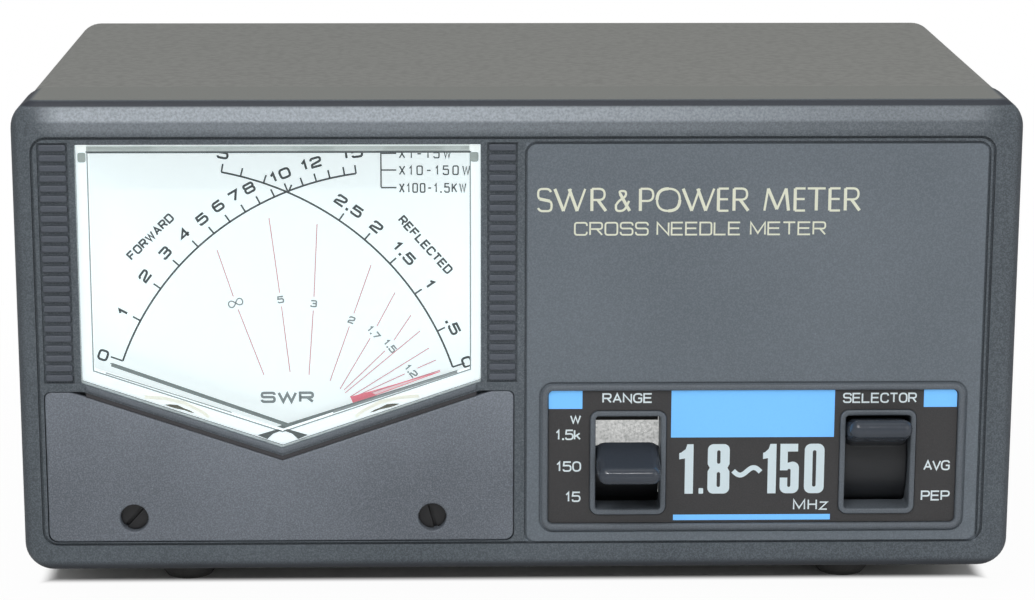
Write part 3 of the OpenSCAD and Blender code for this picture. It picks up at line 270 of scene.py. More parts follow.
bezel_plastic = bezel_moulding()
frame_plastic = moulded("frame_plastic", tint(92, 99, 106), tint(124, 132, 141))
rib_plastic = moulded("rib_plastic", tint(78, 84, 93), tint(104, 110, 120), 2600, 0.00003, 0.4, 0.6)
# The lower cover is painted lighter towards its shoulders: painted light from above.
lower_plastic = moulded("lower_cover_plastic", tint(92, 98, 106), tint(160, 168, 179), 2500, 0.00005,
                        0.45, 0.48, 0.28, 0.2)
cover_paint = painted("cover_paint", tint(133, 134, 130), tint(108, 109, 105))
chassis_paint = painted("chassis_paint", tint(122, 124, 119), tint(98, 100, 97))
label_film = moulded("label_film", tint(56, 55, 56), tint(78, 78, 79), 3200, 0.00002, 0.5, 0.6)


def lever_moulding(name, shield_top, shield_and_shadow_colour):
    """Smooth grey moulding whose shield, below the finger bar, is darker: a darker moulding, with painted
    shadow of the bar.
    """
    f = Finish(name)
    sand = f.noise(1500, 3)
    shield = 1 - f.along("Z").above(shield_top, 0.8)
    base = f.mix(sand.above(0.5, 0.25) * 0.12, tint(64, 70, 79), tint(80, 86, 96))
    return f.shade(f.mix(shield, base, shield_and_shadow_colour), 0.13 + sand * 0.05 + shield * 0.3,
                   bump=f.bump(sand, 0.000005))


# The range lever's shield is nearly black: painted shadow of its finger bar.
range_plastic = lever_moulding("range_lever_plastic", 15.0, tint(17, 18, 20))
selector_plastic = lever_moulding("selector_lever_plastic", 21.0, tint(44, 46, 49))
# Near-black finish for the blocks that stand in for the shade at the top of the lever openings.
gap_shade_black = plain("gap_shade_black", tint(14, 14, 15), 0.6)
# Dark moulding for the band of painted shade beside the lower cover.
recess_shade_plastic = moulded("recess_shade_plastic", tint(58, 57, 60), tint(84, 84, 88), 2600, 0.00003, 0.5, 0.6)
# The needles glow a little: painted light, as they lie in shade.
needle_paint = plain("needle_paint", tint(112, 120, 120), 0.5, Emission_Color=tint(112, 120, 120),
                     Emission_Strength=0.4)
steel = metal("plated_steel", tint(196, 198, 200), 0.28)
white_ink = ink("white_ink", tint(220, 232, 236), 0.12)
cream_ink = ink("cream_ink", tint(228, 230, 210), 0.08)
blue_ink = ink("blue_ink", tint(118, 192, 254), 0.3)
digit_ink = ink("digit_ink", tint(214, 230, 236), 0.12)
dark_ink = ink("dark_ink", tint(62, 70, 74))
grey_ink = ink("grey_ink", tint(126, 134, 136), 0.3)
rose_ink = ink("rose_ink", tint(210, 150, 160), 0.3)
red_ink = ink("red_ink", tint(234, 124, 140), 0.4)
pink_ink = ink("pink_ink", tint(240, 206, 212), 0.5)
edge_ink = ink("edge_ink", tint(140, 149, 151), 0.4)
wedge_ink = ink("wedge_ink", tint(104, 110, 110), 0.05)
glint_ink = ink("glint_ink", tint(250, 253, 252), 0.6)
needle_shadow_ink = ink("needle_shadow_ink", tint(152, 158, 160), 0.2)
corner_shade_ink = ink("corner_shade_ink", tint(172, 181, 178), 0.25)
olive_ink = ink("olive_ink", tint(118, 114, 100), 0.05)
tan_ink = ink("tan_ink", tint(236, 234, 222), 0.45)


def speckled_plate():
    """Bright zinc plate with a coarse, glittering grain; its glow is painted light for the recess where it
    sits.
    """
    f = Finish("switch_plate")
    grit = f.noise(2600, 5, 0.75)
    base = f.mix(grit.above(0.5, 0.12), tint(196, 198, 196), tint(252, 252, 250))
    return f.shade(base, 0.5, 0.1, bump=f.bump(grit, 0.00002), Emission_Color=base, Emission_Strength=0.48)


def clear_plastic():
    """A clear pane: what lies behind shows through, with a soft gloss over it."""
    f = Finish("clear_plastic")
    see_through = f.make("ShaderNodeBsdfTransparent", {}, {"Color": (0.985, 0.995, 0.995, 1)})
    gloss = f.make("ShaderNodeBsdfPrincipled", {}, {"Base Color": tint(240, 248, 248), "Roughness": 0.04})
    edge = f.make("ShaderNodeFresnel", {}, {"IOR": 1.45})
    return f.finished(f.make("ShaderNodeMixShader", {}, {0: edge * 0.55 + 0.01, 1: see_through, 2: gloss}))


def window_wall():
    """The moulding's edge, which catches the light and shows bright bands; its glow is painted light."""
    f = Finish("window_wall")
    veins = f.noise(300, 2)
    base = f.mix(veins.above(0.66, 0.08) * 0.2, tint(236, 244, 247), tint(206, 214, 217))
    return f.shade(base, 0.2, Emission_Color=tint(246, 250, 252), Emission_Strength=0.56)


def window_top_band():
    """The moulding's top edge: level bands of bright and grey, painted light and shade as thick clear plastic
    shows them, with a glow of painted light.
    """
    f = Finish("window_top_band")
    deep = f.along("Z") * -1 + WINDOW_TOP
    veins = f.noise(120, 3).above(0.5, 0.06)
    base = f.mix(deep.within(0.42, 1.3, 0.08) * (veins * 0.2 + 0.8), tint(240, 246, 246), tint(172, 180, 178))
    base = f.mix(deep.within(0.95, 1.02, 0.05) * 0.3, base, tint(250, 252, 252))
    base = f.mix(deep.above(1.2, 0.05), base, tint(70, 77, 80))
    return f.shade(base, 0.15, Emission_Color=base, Emission_Strength=0.4)


switch_plate = speckled_plate()
clear = clear_plastic()
wall_bright = window_wall()
wall_top = window_top_band()

# ---------- modelling helpers ----------


def pick(piece):
    bpy.ops.object.select_all(action="DESELECT")
    piece.select_set(True)
    bpy.context.view_layer.objects.active = piece


def settle(piece, name, finish=None):
    """Puts a piece's place into its mesh, names it and gives it its finish."""
    pick(piece)
    bpy.ops.object.transform_apply(location=True, rotation=True, scale=True)
    piece.name = piece.data.name = name
    if finish:
        piece.data.materials.clear()
        piece.data.materials.append(finish.material)
    return piece


def edited(piece, action, *steps):
    """Takes steps in edit mode, with all of a piece selected at first, or nothing."""
    pick(piece)
    bpy.ops.object.mode_set(mode="EDIT")
    bpy.ops.mesh.select_all(action=action)
    for step in steps:
        step()
    bpy.ops.object.mode_set(mode="OBJECT")
    return piece


def choose(piece, kind, test):
    """Selects the edges or faces that pass a test."""
    mesh = bmesh.from_edit_mesh(piece.data)
    for part in getattr(mesh, kind):
        part.select = test(part)
    bmesh.update_edit_mesh(piece.data)


def outward(piece, weld=0.000001):
    return edited(piece, "SELECT", lambda: bpy.ops.mesh.remove_doubles(threshold=weld),
                  lambda: bpy.ops.mesh.normals_make_consistent(inside=False))


def block(name, low, high, finish=None):
    a, b = here(*low), here(*high)
    bpy.ops.mesh.primitive_cube_add(size=1, location=(a + b) / 2, scale=b - a)
    return settle(bpy.context.object, name, finish)


def post(name, x, y, z, radius, length, sides=48, axis="Y"):
    """A round post that starts at a place and runs to the back, or up or to the right."""
    turn = {"Y": (-math.pi / 2, 0, 0), "Z": (0, 0, 0), "X": (0, math.pi / 2, 0)}[axis]
    step = {"Y": (0, length / 2, 0), "Z": (0, 0, length / 2), "X": (length / 2, 0, 0)}[axis]
    bpy.ops.mesh.primitive_cone_add(
        vertices=sides, radius1=radius * MM, radius2=radius * MM, depth=length * MM,
        location=here(x, y, z) + Vector(step) * MM, rotation=turn)
    return settle(bpy.context.object, name)


def flat(name, outlines, front, depth, finish=None, rounding=0.0, steps=2):
    """A plate from outlines in X and Z; further outlines are its holes, and its edges may be rounded."""
    curve = bpy.data.curves.new(name, "CURVE")
    curve.dimensions = "2D"
    curve.fill_mode = "BOTH"
    for outline in outlines:
        spline = curve.splines.new("POLY")
        spline.points.add(len(outline) - 1)
        for point, (x, z) in zip(spline.points, outline):
            point.co = (x * MM, z * MM, 0, 1)
        spline.use_cyclic_u = True
    curve.extrude = (depth / 2 - rounding) * MM
    curve.bevel_depth = rounding * MM
    curve.bevel_resolution = steps
    curve.offset = -rounding * MM
    piece = bpy.data.objects.new(name, curve)
    bpy.context.scene.collection.objects.link(piece)
    piece.rotation_euler = (math.pi / 2, 0, 0)
    piece.location = here(0, front + depth / 2, 0)
    pick(piece)
    bpy.ops.object.convert(target="MESH")
    piece = bpy.context.object
    return outward(settle(piece, name, finish))


def modify(piece, kind, **settings):
    pick(piece)
    modifier = piece.modifiers.new(kind.title(), kind)
    for name, value in settings.items():
        setattr(modifier, name, value)
    bpy.ops.object.modifier_apply(modifier=modifier.name)
    return piece


def cut(piece, *tools):
    for tool in tools:
        modify(piece, "BOOLEAN", operation="DIFFERENCE", solver="EXACT", object=tool)
        bpy.data.objects.remove(tool)
    return piece


def round_edges(piece, width, steps, chosen):
    """Bevels the edges that a test picks by their two ends, in the bezel's millimetres."""
    zero = here(0, 0, 0)
    return edited(
        piece, "DESELECT", lambda: bpy.ops.mesh.select_mode(type="EDGE"),
        lambda: choose(piece, "edges", lambda edge: chosen(*((vert.co - zero) / MM for vert in edge.verts))),
        lambda: bpy.ops.mesh.bevel(offset=width * MM, segments=steps, affect="EDGES"))


def soften(piece, width=0.15, steps=2, angle=32):
    """Breaks every sharp edge and keeps the large faces flat."""
    modify(piece, "BEVEL", width=width * MM, segments=steps, limit_method="ANGLE",
           angle_limit=math.radians(angle), use_clamp_overlap=True)
    return smooth(piece)


def smooth(piece, angle=50):
    pick(piece)
    bpy.ops.object.shade_smooth_by_angle(angle=math.radians(angle))
    return modify(piece, "WEIGHTED_NORMAL", keep_sharp=True)


def joined(name, pieces):
    bpy.ops.object.select_all(action="DESELECT")
    for piece in pieces:
        piece.select_set(True)
    bpy.context.view_layer.objects.active = pieces[0]
    bpy.ops.object.join()
    return settle(bpy.context.object, name)


def copy_of(piece, dx=0.0, dz=0.0):
    twin = piece.copy()
    twin.data = piece.data.copy()
    bpy.context.scene.collection.objects.link(twin)
    twin.data.transform(Matrix.Translation((dx * MM, 0, dz * MM)))
    return twin


def ring_arc(x, z, radius, start, end, steps):
    turns = (math.radians(start + (end - start) * i / steps) for i in range(steps + 1))
    return [(x + radius * math.cos(turn), z + radius * math.sin(turn)) for turn in turns]


def round_box(left, low, right_edge, high, radius, steps=6):
    corners = ((right_edge - radius, high - radius, 0), (left + radius, high - radius, 90),
               (left + radius, low + radius, 180), (right_edge - radius, low + radius, 270))
    return [p for x, z, a in corners for p in ring_arc(x, z, radius, a, a + 90, steps)]


def arch(half, low, high, radius):
    """An outline that goes up one side, over the top and down the other side."""
    return ([(half, low)] + ring_arc(half - radius, high - radius, radius, 0, 90, 6)
            + ring_arc(radius - half, high - radius, radius, 90, 180, 6) + [(-half, low)])


def circle(x, z, radius, sides=48):
    return ring_arc(x, z, radius, 0, 360 - 360 / sides, sides - 1)


# ---------- sizes of the front, as in the part's source ----------

BODY = "meter_box"
HALF_WIDE, HALF_HOLLOW, FRONT_DEEP, TOP = 77.5, 75.1, 12.5, 75
STRIP, COVER_GAP, COVER_SHOULDER = 1.4, 0.65, 29.15
RIB_COLUMN, RIB_PITCH, RIBS = 34.3, 1.572, 24
SLANT = math.cos(math.atan(SLOPE))
SHOULDER = WINDOW_TIP + WINDOW_HALF * SLOPE
PIVOTS = {"forward": (METER_X + 18.1, 15.6), "reflected": (METER_X - 18.1, 15.6)}
LEVERS = {"range": 17.2, "selector": 56.35}
LEVER_Y, LEVER_Z = 10.8, 16.8
LABEL, LABEL_RING = (4.65, 7.54, 68.8, 29.15, 0.8), (3.65, 6.54, 69.8, 30.15, 1.8)
SOCKET_X, SOCKET_Z = 26, 38
ZERO_SCREWS = [(METER_X + side * 23.35, 8.7) for side in (-1, 1)]
DIAL_Y = 10.0
INK_Y = DIAL_Y - 0.02
WALL = 1.5  # height of the window's top wall


def window_outline(inset):
    drop = inset / SLANT - inset * SLOPE
    return [(METER_X - WINDOW_HALF + inset, WINDOW_TOP - inset),
            (METER_X - WINDOW_HALF + inset, SHOULDER + drop),
            (METER_X, WINDOW_TIP + inset / SLANT),
            (METER_X + WINDOW_HALF - inset, SHOULDER + drop),
            (METER_X + WINDOW_HALF - inset, WINDOW_TOP - inset)]


def lower_outline(inset, gap=COVER_GAP):
    left, right_edge, low, r, foot_r = -73.5, -0.7, 4.9, 1.0, 1.4
    tip = WINDOW_TIP - (STRIP + gap + inset) / SLANT
    high = COVER_SHOULDER - inset
    reach = (high - tip) / SLOPE
    return (ring_arc(right_edge - inset - foot_r, low + inset + foot_r, foot_r, 270, 360, 4)
            + ring_arc(right_edge - inset - r, high - r, r, 0, 90, 4)
            + [(METER_X + reach, high), (METER_X, tip), (METER_X - reach, high)]
            + ring_arc(left + inset + r, high - r, r, 90, 180, 4)
            + ring_arc(left + inset + foot_r, low + inset + foot_r, foot_r, 180, 270, 4))


def groove(left, low, right_edge, high, radius, width, depth):
    """A tool that cuts a closed groove into the face."""
    half = width / 2
    return flat("groove", [round_box(left - half, low - half, right_edge + half, high + half, radius + half),
                           round_box(left + half, low + half, right_edge - half, high - half, radius - half)],
                -1, 1 + depth)


def lever_opening(x, grow, radius):
    return round_box(x - 5.1 - grow, 9.85 - grow, x + 5.1 + grow, 25.0 + grow, radius)


# ---------- the front bezel ----------


def front_bezel():
    """The moulded front: rounded outside, hollow behind, with all its openings and grooves."""
    shell = block("front_shell", (-HALF_WIDE, 0, 0), (HALF_WIDE, FRONT_DEEP, TOP), bezel_plastic)
    round_edges(shell, 4.5, 10, lambda a, b: abs(a.y - b.y) > 1)
    round_edges(shell, 1.8, 6, lambda a, b: a.y < 0.01 and b.y < 0.01)
    cut(shell,
        flat("hollow", [round_box(-HALF_HOLLOW, 2.4, HALF_HOLLOW, 72.6, 3)], 2.2, 11),
        block("tuck", (-HALF_HOLLOW, 9, -1), (HALF_HOLLOW, 14, 1.15)),
        flat("window_hole", [window_outline(-0.1)], -1, 4),
        flat("cover_hole", [lower_outline(0.7)], -1, 4),
        flat("cover_pocket", [lower_outline(-0.1, 0)], -1, 2.6),
        flat("label_pocket", [round_box(*LABEL)], -1, 1.6),
        *(flat("lever_hole", [lever_opening(x, 0.4, 0.9)], -1, 4) for x in LEVERS.values()),
        *(block("rib_pocket", (METER_X + side * RIB_COLUMN - 2.35, -1, 30.6),
                (METER_X + side * RIB_COLUMN + 2.35, 0.36, 68.4)) for side in (-1, 1)),
        groove(-74.3, 4.48, 73.06, 69.1, 2.2, 0.42, 0.5),
        groove(1.15, 4.48, 72.3, 68.3, 1.6, 0.42, 0.5),
        groove(3.4, 6.29, 70.05, 30.4, 2.0, 0.3, 0.3))
    soften(shell, 0.16)
    lip = flat("cover_lip", [arch(76.05, 2.4, 73.55, 3.5) + arch(74.8, 2.4, 72.3, 3)[::-1]], 12.3, 3.2,
               bezel_plastic)
    return joined("front_bezel_shell", [shell, lip])


def rib_columns():
    rib = flat("rib", [round_box(-2.1, -0.52, 2.1, 0.52, 0.34, 3)], -0.12, 1.0, rib_plastic, 0.2, 2)
    smooth(rib)
    ribs = [copy_of(rib, METER_X + side * RIB_COLUMN, 67.6 - i * RIB_PITCH)
            for side in (-1, 1) for i in range(RIBS)]
    bpy.data.objects.remove(rib)
    return joined("rib_columns", ribs)


def control_frame():
    """The raised ring round the control plate and the two rims round the lever openings."""
    ring = flat("control_ring", [round_box(*LABEL_RING), round_box(*LABEL)], -RING_HEIGHT, 1.1,
                frame_plastic, 0.4, 3)
    rims = [flat("lever_rim", [lever_opening(x, 0.85, 1.35), lever_opening(x, 0, 0.5)],
                 -0.3, 5.3, frame_plastic, 0.25, 2) for x in LEVERS.values()]
    for piece in (ring, *rims):
        smooth(piece)
    return joined("control_frame", [ring, *rims])


def window_strip():
    """The ridge of the bezel under the window's lower edge, and a dark band beside the lower cover, painted
    shade of the recess there.
    """
    def chevron(name, near, far, front, depth, finish, rounding):
        reach = WINDOW_HALF - 0.6
        outline = [(METER_X + side * reach, WINDOW_TIP - out / SLANT + abs(side) * reach * SLOPE)
                   for out, sides in ((near, (-1, 0, 1)), (far, (1, 0, -1))) for side in sides]
        return smooth(flat(name, [outline], front, depth, finish, rounding, 3))
    ridge = chevron("ridge", 0.12, STRIP - 0.35, -0.35, 1.15, frame_plastic, 0.36)
    # A dark plate that stands in for the shade in the recess beside the lower cover.
    recess_shade_band = chevron("recess_shade_band", STRIP - 0.3, STRIP + COVER_GAP - 0.06, 0.12, 1.0, recess_shade_plastic, 0.1)
    return joined("window_strip", [ridge, recess_shade_band])


def lower_cover():
    plate = flat("lower_plate", [lower_outline(0)] + [circle(x, z, 2.2) for x, z in ZERO_SCREWS],
                 0.0, 1.5, lower_plastic, 0.3, 3)
    collars = [flat("collar", [circle(x, z, 2.9), circle(x, z, 2.2)], 1.4, 1.6, lower_plastic)
               for x, z in ZERO_SCREWS]
    for piece in (plate, *collars):
        smooth(piece)
    return joined("lower_cover_plate", [plate, *collars])


def window_inside(side, vee, top):
    """The inner edge of the window's bright wall."""
    left, right_edge = METER_X - WINDOW_HALF + side, METER_X + WINDOW_HALF - side + 0.2
    tip = WINDOW_TIP + vee / SLANT
    return [(left, top), (left, tip + (METER_X - left) * SLOPE), (METER_X, tip),
            (right_edge, tip + (right_edge - METER_X) * SLOPE), (right_edge, top)]


def window_parts():
    """The clear pane and the bright walls of its thick edge, with a banded top wall."""
    pane = flat("window_pane", [window_outline(0)], 0.1, 1.4, clear)
    wall_low = WINDOW_TOP - WALL
    ring = flat("window_low_ring", [window_outline(0), window_inside(1.7, 1.95, wall_low)], 1.6, 1.9,
                wall_bright)
    lintel = block("window_lintel", (METER_X - WINDOW_HALF, 3.5, wall_low),
                   (METER_X + WINDOW_HALF, 9.75, WINDOW_TOP), wall_bright)
    walls = joined("window_walls", [ring, lintel])
    walls.data.materials.append(wall_top.material)
    edge = here(0, 0, wall_low - 0.02).z
    for face in walls.data.polygons:
        if all(walls.data.vertices[v].co.z > edge for v in face.vertices):
            face.material_index = 1
    return pane, walls


def mirrored(outline):
    return [(2 * METER_X - x, z) for x, z in outline][::-1]


def window_lines():
    """Thin lines that the thick clear edge shows, with painted reflections, glints and shade on it, and
    painted shadows of the needles.
    """
    y = 1.55  # just before the front of the bright walls
    Ink("window_edge_line", edge_ink, y).strip(window_inside(1.72, 1.97, WINDOW_TOP - WALL), 0.2).lay()
    wedge = [(-40.75, 21.75), (-37.6, 22.7), (-36.9, 22.5), (-38.3, 21.95), (-39.2, 21.1)]
    Ink("window_tip_wedges", wedge_ink, y).patch(wedge).patch(mirrored(wedge)).lay()
    # Painted shade and a painted glint in the top corners of the window.
    for name, finish, front, low, high, wide, radius, starts in (
            ("window_corner_shade", corner_shade_ink, y, 65.1, 66.65, 1.25, 0.3, (0.25, -1.5)),
            ("window_corner_glint", glint_ink, y - 0.02, 66.75, 67.9, 1.52, 0.2, (0.08, -1.6))):
        corners = Ink(name, finish, front)
        for edge, start in zip((METER_X - WINDOW_HALF, METER_X + WINDOW_HALF), starts):
            corners.patch(round_box(edge + start, low, edge + start + wide, high, radius, 2))
        corners.lay()
    # Painted shadows of the needles, a grey band beside each needle's line.
    line = [(-28.9, 25.43), (-9.5, 31.88)]
    Ink("painted_needle_shadows", needle_shadow_ink, y).strip(line, 0.36).strip(mirrored(line), 0.16).lay()
    # Painted reflections of the pivots and a painted halo round them.
    crescent = [(-23.22, 25.3), (-22.37, 25.81), (-21.61, 26.1), (-20.47, 26.69), (-19.33, 26.78),
                (-18.48, 26.74), (-19.33, 26.39), (-20.09, 26.15), (-21.61, 25.81), (-22.37, 25.5)]
    halo = [(-25.4, 24.65), (-24.25, 25.6), (-21.6, 26.98), (-18.57, 27.75), (-15.4, 28.0)]
    Ink("pivot_reflection", olive_ink, y).patch(crescent).patch(mirrored(crescent)).lay()
    Ink("pivot_halo", tan_ink, y + 0.01).strip(halo, 0.6).strip(mirrored(halo), 0.6).lay()


# ---------- levers ----------


def turned_about_pivot(piece, degrees):
    pivot = Matrix.Translation(here(0, LEVER_Y, LEVER_Z))
    piece.data.transform(pivot @ Matrix.Rotation(math.radians(degrees), 4, "X") @ pivot.inverted())
    return piece


def finger_lever(x, tilt, finish):
    """A curved shield, a paddle and a round finger bar, run together as one moulding."""
    half, wide, bar, reach, root_y = 5.0, 6, 1.42, 17, LEVER_Y - 8.4
    tips = []
    for side in (-1, 1):
        bpy.ops.mesh.primitive_uv_sphere_add(
            segments=32, ring_count=16, radius=bar * MM,
            location=here(x + side * (half - 0.1 - bar), LEVER_Y - reach + bar, LEVER_Z))
        tips.append(settle(bpy.context.object, "bar_end"))
    root = flat("paddle_root", [round_box(x - half, LEVER_Z - 1.3, x + half, LEVER_Z + 3.3, 1.4)],
                root_y, 0.2)
    paddle = edited(joined("paddle", [*tips, root]), "SELECT", bpy.ops.mesh.convex_hull)
    shield = post("shield", x - half, LEVER_Y, LEVER_Z, 8.8, 2 * half, 128, "X")
    top = block("above_shield", (x - wide, LEVER_Y - 12, LEVER_Z), (x + wide, LEVER_Y + 12, LEVER_Z + 20))
    cut(shield,
        post("shield_bore", x - wide, LEVER_Y, LEVER_Z, 7.9, 2 * wide, 128, "X"),
        turned_about_pivot(top, -18.7),
        block("behind_shield", (x - wide, LEVER_Y - 0.5, LEVER_Z - 12),
              (x + wide, LEVER_Y + 12, LEVER_Z + 12)))
    arm = block("arm", (x - 1.5, root_y, LEVER_Z - 0.75), (x + 1.5, LEVER_Y - 1.9, LEVER_Z + 0.75))
    paddle = joined("lever", [
        paddle, shield, turned_about_pivot(arm, 20),
        post("hub", x - half, LEVER_Y, LEVER_Z, 2.2, 2 * half, axis="X"),
        block("tail", (x - 1.5, LEVER_Y + 1.5, LEVER_Z - 0.8), (x + 1.5, LEVER_Y + 4.2, LEVER_Z + 0.8))])
    modify(paddle, "REMESH", mode="VOXEL", voxel_size=0.13 * MM)
    modify(paddle, "SMOOTH", factor=0.5, iterations=6)
    cut(paddle, post("pin_bore", x - wide, LEVER_Y, LEVER_Z, 1.05, 2 * wide, axis="X"))
    turned_about_pivot(paddle, -tilt)
    settle(paddle, "finger_lever", finish)
    pick(paddle)
    bpy.ops.object.shade_smooth()
    return paddle


# ---------- ink ----------


def glyph_table(text):
    """Letters by line, each with its strokes in a unit box and a bar between two strokes.

    A star marks a corner that is rounded; a stroke that starts with an exclamation mark is heavier.
    """
    return {line[0]: line[2:].split("|") for line in text.strip().splitlines()}


GLYPHS = glyph_table("""
0 0,.5 0,1* 1,1* 1,0* 0,0* 0,.5
1 .12,.72 .62,1 .62,0
2 0,.74 0,1* 1,1* 1,.56* 0,.3* 0,0 1,0
3 0,1 1,1* 1,.53* .3,.53|.6,.53 1,.53* 1,0* 0,0* 0,.2
4 .74,0 .74,1 0,.3 1,.3
5 1,1 .08,1 .02,.6 1,.62* 1,0* 0,0* 0,.2
6 .95,1 0,1* 0,0* 1,0* 1,.58* 0,.58
7 0,1 1,1 .36,0
8 .5,.54 0,.54* 0,1* 1,1* 1,.54* .5,.54|.5,.54 0,.54* 0,0* 1,0* 1,.54* .5,.54
A 0,0 .5,1 1,0|.18,.32 .82,.32
C 1,.74 1,1* 0,1* 0,0* 1,0* 1,.26
D 0,.5 0,1 1,1* 1,0* 0,0 0,.5
E 1,1 0,1 0,0 1,0|0,.52 .92,.52
F 1,1 0,1 0,0|0,.52 .88,.52
G 1,.76 1,1* 0,1* 0,0* 1,0* 1,.48 .56,.48
H 0,0 0,1|1,0 1,1|0,.52 1,.52
K 0,0 0,1|1,1 0,.4|.36,.6 1,0
L 0,1 0,0 1,0
M 0,0 0,1 .5,.12 1,1 1,0
N 0,0 0,1 1,0 1,1
O 0,.5 0,1* 1,1* 1,0* 0,0* 0,.5
P 0,0 0,1 1,1* 1,.46* 0,.46
R 0,0 0,1 1,1* 1,.48* 0,.48|.55,.48 1,0
S 1,.76 1,1* 0,1* 0,.52* 1,.52* 1,0* 0,0* 0,.24
T 0,1 1,1|.5,1 .5,0
V 0,1 .5,0 1,1
W 0,1 .26,0 .5,.9 .74,0 1,1
X 0,0 1,1|0,1 1,0
Z 0,1 1,1 0,0 1,0
- .05,.48 .95,.48
k 0,0 0,1|.8,.66 0,.28|.3,.42 .86,0
""")
TITLE_GLYPHS = glyph_table("""
S .95,.86 .86,1* 0,1* 0,.62* .12,.55|!.12,.55 .88,.45|.88,.45 1,.38* 1,0* .1,0* 0,.14
W !0,1 .29,0|.29,0 .53,1|!.47,1 .74,0|.74,0 1,1
R !0,0 0,1|0,1 .9,1* .9,.5* 0,.5|!.42,.5 1,0
& !.3,.86 1,0|.3,.86 .18,1* .72,1* .72,.74* .2,.5* 0,.3 0,0* .6,0* .95,.5
P !0,0 0,1|0,1 1,1* 1,.45* 0,.45
O !0,.5 0,1* .5,1|.5,1 1,1* 1,.5|!1,.5 1,0* .5,0|.5,0 0,0* 0,.5
E !0,0 0,1|0,1 1,1|0,.52 .94,.52|0,0 1,0
M .0,0 .14,1|!.14,1 .52,.06|.52,.06 .88,1|!.88,1 1,0
T 0,1 1,1|!.5,1 .5,0
""")
NARROW = {"1": 0.62, ".": 0.3, " ": 0.55, "-": 0.8, "M": 1.2, "W": 1.35, "k": 0.9}


def rounded_path(points, radius):
    """A line through points, with the marked corners turned into arcs."""
    path = []
    for i, (x, z, mark) in enumerate(points):
        here_point = Vector((x, z))
        if not mark or i in (0, len(points) - 1):
            path.append(here_point)
            continue
        before, after = Vector(points[i - 1][:2]), Vector(points[i + 1][:2])
        into, out = here_point - before, after - here_point
        reach = min(radius, into.length * (1 if i == 1 else 0.5),
                    out.length * (1 if i == len(points) - 2 else 0.5))
        first, last = here_point - into.normalized() * reach, here_point + out.normalized() * reach
        for step in range(7):
            t = step / 6
            path.append(first * (1 - t) ** 2 + here_point * 2 * t * (1 - t) + last * t * t)
    clean = [path[0]]
    for point in path[1:]:
        if (point - clean[-1]).length > 1e-5:
            clean.append(point)
    return clean


def ribbon(path, width):
    """The flat strip of a line, as one outline with mitred corners."""
    sides = ([], [])
    for i, point in enumerate(path):
        into = (path[i] - path[i - 1]).normalized() if i else None
        out = (path[i + 1] - path[i]).normalized() if i < len(path) - 1 else None
        into, out = into or out, out or into
        across = Vector((-into.y, into.x)) + Vector((-out.y, out.x))
        across = across.normalized() if across.length > 0.05 else Vector((-into.y, into.x))
        reach = width / 2 / max(across.dot(Vector((-out.y, out.x))), 0.45)
        sides[0].append(point + across * reach)
        sides[1].append(point - across * reach)
    return sides


class Ink:
    """Flat print that is gathered strip by strip and then laid on a face."""

    def __init__(self, name, finish, y):
        self.name, self.finish, self.y = name, finish, y
        self.verts, self.faces, self.strokes = [], [], 0

    def next_layer(self):
        """Strokes that cross lie a hair apart, so that their faces never coincide."""
        self.strokes += 1
        return self.strokes % 7 * 0.0012

    def strip(self, path, width):
        left, right_side = ribbon([Vector(p) for p in path], width)
        start, layer = len(self.verts), self.next_layer()
        for a, b in zip(left, right_side):
            self.verts += [(*a, layer), (*b, layer)]
        self.faces += [(k, k + 1, k + 3, k + 2) for k in range(start, start + 2 * len(left) - 2, 2)]
        return self

    def patch(self, outline):
        start, layer = len(self.verts), self.next_layer()
        self.verts += [(*p, layer) for p in outline]
        self.faces.append(tuple(range(start, start + len(outline))))
        return self

    def words(self, text, x, z, height, width, stroke, turn=0.0, gap=0.35, corner=0.3, align="MIDDLE",
              glyphs=GLYPHS):
        """Letters drawn as strokes; x and z are the middle of the line of text."""
        spread = [width * NARROW.get(letter, 1.0) for letter in text]
        total = sum(spread) + gap * width * (len(text) - 1)
        pen = {"MIDDLE": -total / 2, "LEFT": 0.0, "RIGHT": -total}[align]
        angle = math.radians(turn)
        for letter, wide in zip(text, spread):
            for line in glyphs.get(letter, []):
                points = []
                for word in line.lstrip("!").split():
                    px, pz = word.rstrip("*").split(",")
                    points.append((pen + float(px) * wide, (float(pz) - 0.5) * height, word.endswith("*")))
                path = rounded_path(points, corner * min(width, height))
                weight = 1.4 if line[0] == "!" else 1
                self.strip([self.turned(p, angle, x, z) for p in path], stroke * weight)
            if letter == ".":
                dot = stroke * 0.6
                middle, rise = pen + wide / 2, dot - height / 2 - stroke / 2
                self.patch([self.turned((middle + a * dot, rise + b * dot), angle, x, z)
                            for a, b in ((-1, -1), (1, -1), (1, 1), (-1, 1))])
            pen += wide + gap * width
        return self

    @staticmethod
    def turned(point, angle, x, z):
        return (x + point[0] * math.cos(angle) - point[1] * math.sin(angle),
                z + point[0] * math.sin(angle) + point[1] * math.cos(angle))

    def lay(self, thick=0.03, body=BODY):
        mesh = bpy.data.meshes.new(self.name)
        mesh.from_pydata([here(x, self.y - layer, z) for x, z, layer in self.verts], [], self.faces)
        piece = bpy.data.objects.new(self.name, mesh)
        bpy.context.scene.collection.objects.link(piece)
        settle(piece, self.name, self.finish)
        for face in mesh.polygons:
            if face.normal.y > 0:
                face.flip()
        modify(piece, "SOLIDIFY", thickness=thick * MM, offset=-1)
        outward(piece, 1e-9)
        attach(piece, body)
        return piece


